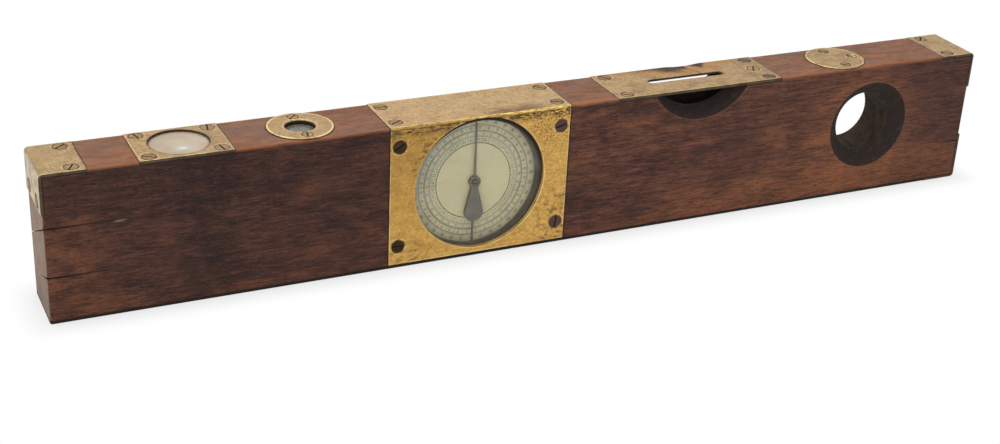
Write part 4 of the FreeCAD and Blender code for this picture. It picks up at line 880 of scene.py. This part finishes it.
class LEVEL_OT_compass(bpy.types.Operator):
    """Finish the compass: hazed glass, aged card, blued needle and brass bowl"""

    bl_idname = "level.compass"
    bl_label = "Compass"

    def execute(self, context):
        brass, dial = context.scene.level_brass, context.scene.level_dial
        at = middle("compass_glass")

        s = Surface("hazed_glass")
        out = s.from_point(s.x, s.y, at.x, 0.0)
        haze = s.noise(16.0, detail=3.0)
        tint = s.blend(haze.rise(0.35, 0.65), srgb(196, 175, 147), srgb(210, 191, 166))
        # a painted bluish highlight and a painted glint low in the middle, painted shade towards the upper left,
        # and a painted shadow round the rim, darkest at the upper left
        bluish_highlight = s.from_point(s.x, s.y * 1.6, at.x + 1.0, -12.0).rise(9.0, 1.0)
        tint = s.blend(bluish_highlight * 0.5, tint, srgb(206, 214, 214))
        glint = s.from_point(s.x, s.y * 1.4, at.x + 0.5, -11.0).rise(4.0, 0.3)
        tint = s.blend(glint * 0.7, tint, srgb(244, 246, 240))
        upper_left = (s.y * 0.8 - (s.x - at.x) * 0.4).rise(-4.0, 16.0)
        tint = s.blend(upper_left * 0.5, tint, srgb(176, 156, 128))
        at_rim = out.rise(COMPASS_WINDOW - 2.2, COMPASS_WINDOW - 0.2)
        tint = s.blend(at_rim * (0.35 + upper_left * 0.5), tint, srgb(122, 96, 70))
        dress(s.finish({"Base Color": tint, "Roughness": 0.16 + haze * 0.1, "Alpha": 0.80 + haze * 0.12,
                        "IOR": 1.5}), "aged_glass", "compass_glass")

        s = Surface("compass_card_paper")
        out = s.from_point(s.x, s.y, at.x, 0.0)
        turn = s.node("ShaderNodeMath", {"operation": "ARCTAN2"}, {0: s.y, 1: s.x - at.x})
        ink = tick_marks(s, turn, out, math.radians(10), 0.1) * out.near(14.0, 1.3, 0.1)
        ink = ink.most(out.near(15.4, 0.1, 0.1)).most(out.near(12.6, 0.1, 0.1))
        tone = s.blend(s.noise(6.0, detail=4.0).rise(0.4, 0.7) * 0.5, dial.paper, dial.scale)
        dress(s.finish({"Base Color": s.blend(ink * 0.8, tone, dial.ink), "Roughness": 0.75 + ink * 0.05}),
              "printed_card", "compass_card")

        s = Surface("blued_needle")
        north = (s.x - at.x).rise(-0.2, 0.2)
        tone = s.blend(north, srgb(150, 150, 156), srgb(62, 70, 98))
        cap = s.from_point(s.x, s.y, at.x, 0.0).rise(2.1, 1.9)
        dress(s.finish({"Base Color": s.blend(cap, tone, brass.plate), "Metallic": 1.0,
                        "Roughness": 0.25 + s.noise(1.5) * 0.2}), "blued_steel", "compass_needle")

        s = AgedBrass("bowl_brass", brass, brass.plate, mottling=0.6, pits=0.2, seed=91.0)
        dress(s.done(), "brass", "compass_bowl")
        dress(steel_finish("pin_steel", brass), "steel", "compass_pin")
        return {"FINISHED"}


def tick_marks(s, turn, out, step, half_width):
    """1 on radial lines a step apart, both angles, where out is the distance from the middle."""
    whole = s.node("ShaderNodeMath", {"operation": "FRACT"}, {0: turn / step + 100.5})
    return (abs(whole - 0.5) * step * out).rise(half_width + 0.1, half_width)


def steel_finish(name, look, share=1.0):
    s = Surface(name)
    cloud, fine = s.noise(6.0, detail=4.0), s.noise(0.7, detail=3.0, seed=2.0)
    tone = s.blend(cloud.rise(0.45, 0.7) * 0.5, darker(look.steel, share), darker(look.steel, share * 0.6))
    tone = s.blend(fine.rise(0.56, 0.7) * 0.4, tone, darker(look.tarnish, share))
    return s.finish({"Base Color": tone, "Metallic": 0.85 - fine * 0.3, "Roughness": 0.42 + cloud * 0.2,
                     "Normal": s.relief(fine, 0.02)})


class LEVEL_OT_bullseye(bpy.types.Operator):
    """Finish the bull's-eye level: clear glass, spirit with its bubble, and the cup under them"""

    bl_idname = "level.bullseye"
    bl_label = "Bull's-eye"

    def execute(self, context):
        brass = context.scene.level_brass
        at = middle("bullseye_glass")
        s = Surface("bullseye_glass_finish")
        dust = s.noise(3.0, detail=4.0)
        out = s.from_point(s.x, s.y, at.x, 0.0)
        tone = s.blend(dust.rise(0.4, 0.7), srgb(160, 158, 148), srgb(196, 190, 172))
        # painted shade round the glass's rim
        tone = s.blend(out.rise(EYE_WINDOW - 3.6, EYE_WINDOW) * 0.7, tone, srgb(96, 84, 58))
        rim_haze = out.rise(EYE_WINDOW - 2.2, EYE_WINDOW - 0.2) * 0.25
        dress(s.finish({"Base Color": tone, "Roughness": 0.08 + dust * 0.08,
                        "Alpha": 0.36 + dust * 0.16 + rim_haze, "IOR": 1.5}),
              "clear_glass", "bullseye_glass")

        s = Surface("spirit_finish")
        tone = s.blend(s.noise(5.0), srgb(120, 128, 128), srgb(150, 154, 146))
        dress(s.finish({"Base Color": tone, "Roughness": 0.04 + s.noise(4.0) * 0.02,
                        "Alpha": 0.45 + s.noise(6.0) * 0.1, "IOR": 1.36}), "spirit", "bullseye_spirit")

        s = AgedBrass("cup_brass", brass, darker(brass.silvered, 0.45), mottling=0.3, pits=0.1, seed=95.0)
        # painted shade on the cup's side walls
        s.soil_and_shade(abs(s.facing_z).rise(0.6, 0.3), 0.9)
        dress(s.done(), "dark_brass", "bullseye_cup")
        return {"FINISHED"}


def numeral_ring(name, numbers, radius, height, centre, face_y):
    """Plain numbers printed round the dial, upright at the top, as one thin mesh."""
    gathered = bmesh.new()
    for text, degrees in numbers:
        curve = bpy.data.curves.new(name, "FONT")
        curve.body, curve.size = text, height * FONT_SIZE * MM
        curve.align_x, curve.align_y = "CENTER", "CENTER"
        curve.resolution_u = 2
        holder = bpy.data.objects.new(name, curve)
        flat = bpy.data.meshes.new_from_object(holder)
        angle = math.radians(degrees)
        place = centre.x + radius * math.sin(angle), face_y, centre.z + radius * math.cos(angle)
        stand = Matrix.Rotation(angle, 4, "Y") @ Matrix.Rotation(math.pi / 2, 4, "X")
        flat.transform(Matrix.Translation(Vector(place) * MM) @ stand)
        gathered.from_mesh(flat)
        bpy.data.objects.remove(holder)
        bpy.data.curves.remove(curve)
        bpy.data.meshes.remove(flat)
    mesh = bpy.data.meshes.new(name)
    gathered.to_mesh(mesh)
    gathered.free()
    return mesh


class LEVEL_OT_dial(bpy.types.Operator):
    """Finish the dial: printed card, plain numbers, dark case and glass"""

    bl_idname = "level.dial"
    bl_label = "Dial"

    # each printed circle: its radius and its strength
    CIRCLES = ((28.1, 0.55), (31.9, 0.9), (35.3, 0.9), (40.0, 1.0))
    # each ring of ticks: degrees between them, its radius, half a tick's length, and its strength
    TICKS = ((2, 28.7, 0.6, 0.8), (1, 31.3, 0.5, 0.7), (2, 35.9, 0.6, 0.8),
             (10, 26.1, 2.0, 0.7), (5, 33.6, 1.7, 0.5), (10, 37.7, 2.3, 0.4))

    def execute(self, context):
        look = context.scene.level_dial
        centre = joint_place("pendulum_swing")
        low, high = reach("dial_card")
        edge = (high.x - low.x) / 2

        s = Surface("dial_card_paper")
        out = s.from_point(s.x, s.z, centre.x, centre.z)
        turn = s.node("ShaderNodeMath", {"operation": "ARCTAN2"}, {0: s.x - centre.x, 1: s.z - centre.z})
        line, disc = look.line_width / MM / 2, look.disc_radius / MM
        ink = out.near(disc, line * 1.8, 0.12)
        for radius, share in self.CIRCLES:
            ink = ink.most(out.near(radius, line * 1.2, 0.12) * share)
        for degrees, radius, half, share in self.TICKS:
            marks = tick_marks(s, turn, out, math.radians(degrees), line)
            ink = ink.most(marks * out.near(radius, half, 0.05) * share)
        quarters = tick_marks(s, turn, out, math.radians(90), line * 1.3)
        ink = ink.most(quarters * out.rise(disc - 0.1, disc + 0.1) * 0.8)
        faded = s.noise(9.0, detail=4.0, seed=4.0).rise(0.25, 0.6)

        clouds = s.noise(16, 16, 16, detail=4.0).rise(0.4, 0.7)
        paper = s.blend(clouds * 0.5, look.paper, darker(look.paper, 0.84))
        patches = s.noise(13, 13, 13, detail=4.0, seed=2.0).rise(0.35, 0.65)
        ring = s.blend(patches, look.scale, darker(look.scale, 0.86))
        blue = ((s.x - centre.x) * -0.6 + (s.z - centre.z) * 0.5).rise(6, 34)
        ring = s.blend(blue * 0.4, ring, srgb(156, 168, 164))
        tone = s.blend(out.rise(disc - 0.2, disc + 0.4), paper, ring)
        foxing = s.noise(1.2, detail=3.0, seed=8.0).rise(0.6, 0.72)
        tone = s.blend(foxing * 0.35, tone, darker(look.paper, 0.5))
        # painted shade round the card's edge, under the window's rim
        tone = s.blend(out.rise(edge - 4.0, edge) * 0.45, tone, darker(look.scale, 0.5))
        tone = s.blend(ink * (0.6 + faded * 0.35), tone, look.ink)
        dress(s.finish({"Base Color": tone, "Roughness": 0.7 + faded * 0.1}), "printed_card", "dial_card")

        s = Surface("printed_numbers")
        tone = s.blend(s.noise(2.5, detail=3.0).rise(0.35, 0.65), look.ink, darker(look.scale, 0.42))
        ink_finish = s.finish({"Base Color": tone, "Roughness": 0.75 + s.noise(3.0) * 0.05})
        step, height = look.numeral_step, look.numeral_height / MM
        around = [(str(90 - abs(90 - degrees % 180)), degrees) for degrees in range(0, 360, step)]
        inner = [(str(abs(180 - degrees) // 2), degrees) for degrees in range(step // 2, 360, step)]
        rings = (("numbers_inner", inner, 26.1, 1.0), ("numbers_lower", around, 29.9, 0.7),
                 ("numbers_middle", inner, 33.6, 0.9), ("numbers_outer", around, 37.8, 1.1))
        for name, numbers, radius, share in rings:
            mesh = numeral_ring(name, numbers, radius, height * share, centre, low.y - PRINT_GAP)
            mesh_piece(name, mesh, ink_finish, "level")

        s = Surface("case_finish")
        case_front = reach("dial_case")[0].y
        worn = s.noise(5.0, detail=5.0)
        tone = s.blend(worn.rise(0.5, 0.7) * 0.5, srgb(86, 74, 72), srgb(126, 110, 104))
        # painted shade on the case's front edge, close behind the plate
        tone = s.blend(s.y.rise(case_front + 1.6, case_front + 0.3), tone, srgb(30, 24, 20))
        dress(s.finish({"Base Color": tone, "Roughness": 0.5 + worn * 0.2, "Metallic": 0.1 + worn * 0.2,
                        "Normal": s.relief(worn, 0.05)}), "dark_brass", "dial_case")

        s = Surface("dial_glass_finish")
        dust = s.noise(12, 12, 12, detail=5.0, seed=3.0)
        smear = s.noise(30, 4, 4, detail=3.0, seed=5.0)
        tone = s.blend(dust.rise(0.4, 0.65), srgb(150, 156, 140), srgb(198, 196, 178))
        dress(s.finish({"Base Color": tone, "Roughness": 0.06 + dust * 0.08, "IOR": 1.5,
                        "Alpha": 0.05 + dust.rise(0.4, 0.7) * 0.06 + smear.rise(0.5, 0.7) * 0.03}),
              "clear_glass", "dial_glass")
        return {"FINISHED"}


class LEVEL_OT_pendulum(bpy.types.Operator):
    """Finish the pendulum pointer and the shoulder screw it hangs on"""

    bl_idname = "level.pendulum"
    bl_label = "Pendulum"

    def execute(self, context):
        look = context.scene.level_brass
        dress(steel_finish("pointer_steel", look), "steel", "pendulum_pointer")
        dress(steel_finish("pivot_steel", look, 0.7), "steel", "pendulum_pivot")
        return {"FINISHED"}


def flat_square(name, side, material):
    mesh = bpy.data.meshes.new(name)
    half = side / 2
    corners = [(-half, -half, 0), (half, -half, 0), (half, half, 0), (-half, half, 0)]
    mesh.from_pydata(corners, [], [(0, 1, 2, 3)])
    mesh.materials.append(material)
    made = bpy.data.objects.new(name, mesh)
    bpy.context.scene.collection.objects.link(made)
    return made


def aim(thing, target):
    thing.rotation_euler = (Vector(target) - thing.location).to_track_quat("-Z", "Y").to_euler()


def soft_lamp(name, place, target, side, power):
    lamp = bpy.data.lights.new(name, "AREA")
    lamp.shape, lamp.size, lamp.energy = "SQUARE", side, power
    made = bpy.data.objects.new(name, lamp)
    made.location = place
    aim(made, target)
    bpy.context.scene.collection.objects.link(made)


class LEVEL_OT_stage(bpy.types.Operator):
    """Set the pale floor, the soft light and the camera"""

    bl_idname = "level.stage"
    bl_label = "Stage"

    # the camera's place in metres, the way it looks, its right-hand side, and the shift of its picture
    PLACE = Vector((-0.4343, -0.83765, 0.4595))
    AHEAD = Vector((0.39505, 0.80936, -0.43459))
    RIGHT = Vector((0.90739, -0.41765, 0.04704))
    SHIFT = (-0.00326, -0.00165)

    def execute(self, context):
        look = context.scene.level_stage

        # the floor shows as white paper, and lets a part of the object's shadow through close to it
        s, shaded = Surface("pale_floor"), 0.34
        high = Vector(CAD_BOX[1]) / MM
        away = ((abs(s.x) - high.x).most(0.0) ** 2 + (abs(s.y) - high.y).most(0.0) ** 2) ** 0.5
        grain = s.noise(400.0, detail=2.0)
        tone = s.blend(grain, (0.80, 0.80, 0.80), (0.82, 0.82, 0.82))
        paper = s.node("ShaderNodeBsdfPrincipled", None,
                       {"Base Color": tone, "Roughness": 1.0, "Specular IOR Level": 0.0})
        white = s.node("ShaderNodeEmission", None, {"Color": (1, 1, 1, 1), "Strength": 1.0})
        share = s.seen() * (away.rise(-4, 20) * shaded + (1 - shaded))
        s.node("ShaderNodeOutputMaterial", None,
               {"Surface": s.node("ShaderNodeMixShader", None, {0: share, 1: paper, 2: white})})
        flat_square("floor", look.floor, s.material)

        world = bpy.data.worlds.new("white_room")
        room = Wiring(world)
        lit = room.node("ShaderNodeBackground", None, {"Color": (1, 1, 1, 1), "Strength": look.sky})
        backdrop = room.node("ShaderNodeBackground", None, {"Color": (1, 1, 1, 1), "Strength": 1.0})
        mixed = room.node("ShaderNodeMixShader", None, {0: room.seen(), 1: lit, 2: backdrop})
        room.node("ShaderNodeOutputWorld", None, {"Surface": mixed})
        context.scene.world = world

        target = (0, 0, 0.05)
        soft_lamp("overhead_lamp", (-0.3, 0.25, 1.6), target, side=1.6, power=look.overhead)
        soft_lamp("front_lamp", (-1.2, -1.5, 0.9), target, side=1.2, power=look.front)

        lens = bpy.data.cameras.new("camera")
        lens.sensor_width, lens.lens = 36.0, look.lens
        lens.shift_x, lens.shift_y = self.SHIFT
        lens.clip_start, lens.clip_end = 0.01, 50
        camera = bpy.data.objects.new("camera", lens)
        up = self.RIGHT.cross(self.AHEAD)
        turn = Matrix((self.RIGHT, up, -self.AHEAD)).transposed()
        camera.matrix_world = Matrix.Translation(self.PLACE) @ turn.to_4x4()
        context.scene.collection.objects.link(camera)
        context.scene.camera = camera
        context.scene.view_settings.view_transform = "Standard"
        return {"FINISHED"}


OPERATORS = (LEVEL_OT_wood, LEVEL_OT_top_brass, LEVEL_OT_tips, LEVEL_OT_front_plate, LEVEL_OT_screws,
             LEVEL_OT_compass, LEVEL_OT_bullseye, LEVEL_OT_dial, LEVEL_OT_pendulum, LEVEL_OT_stage)
GROUPS = {"level_wood": LEVEL_PG_wood, "level_brass": LEVEL_PG_brass, "level_dial": LEVEL_PG_dial,
          "level_stage": LEVEL_PG_stage}


class LEVEL_PT_panel(bpy.types.Panel):
    """Lists the pieces of the level and the stage"""

    bl_idname = "LEVEL_PT_panel"
    bl_label = "Combined level"
    bl_space_type = "VIEW_3D"
    bl_region_type = "UI"
    bl_category = "Level"

    def draw(self, context):
        for operator in OPERATORS:
            self.layout.operator(operator.bl_idname)
        for name, group in GROUPS.items():
            box = self.layout.box()
            for prop in group.__annotations__:
                box.prop(getattr(context.scene, name), prop)


def register():
    for made in (*GROUPS.values(), *OPERATORS, LEVEL_PT_panel):
        bpy.utils.register_class(made)
    for name, group in GROUPS.items():
        setattr(bpy.types.Scene, name, bpy.props.PointerProperty(type=group))


def unregister():
    for name in GROUPS:
        delattr(bpy.types.Scene, name)
    for made in (LEVEL_PT_panel, *OPERATORS, *GROUPS.values()):
        bpy.utils.unregister_class(made)


def main():
    register()
    for operator in OPERATORS:
        group, name = operator.bl_idname.split(".")
        getattr(getattr(bpy.ops, group), name)()


if __name__ == "__main__":
    main()
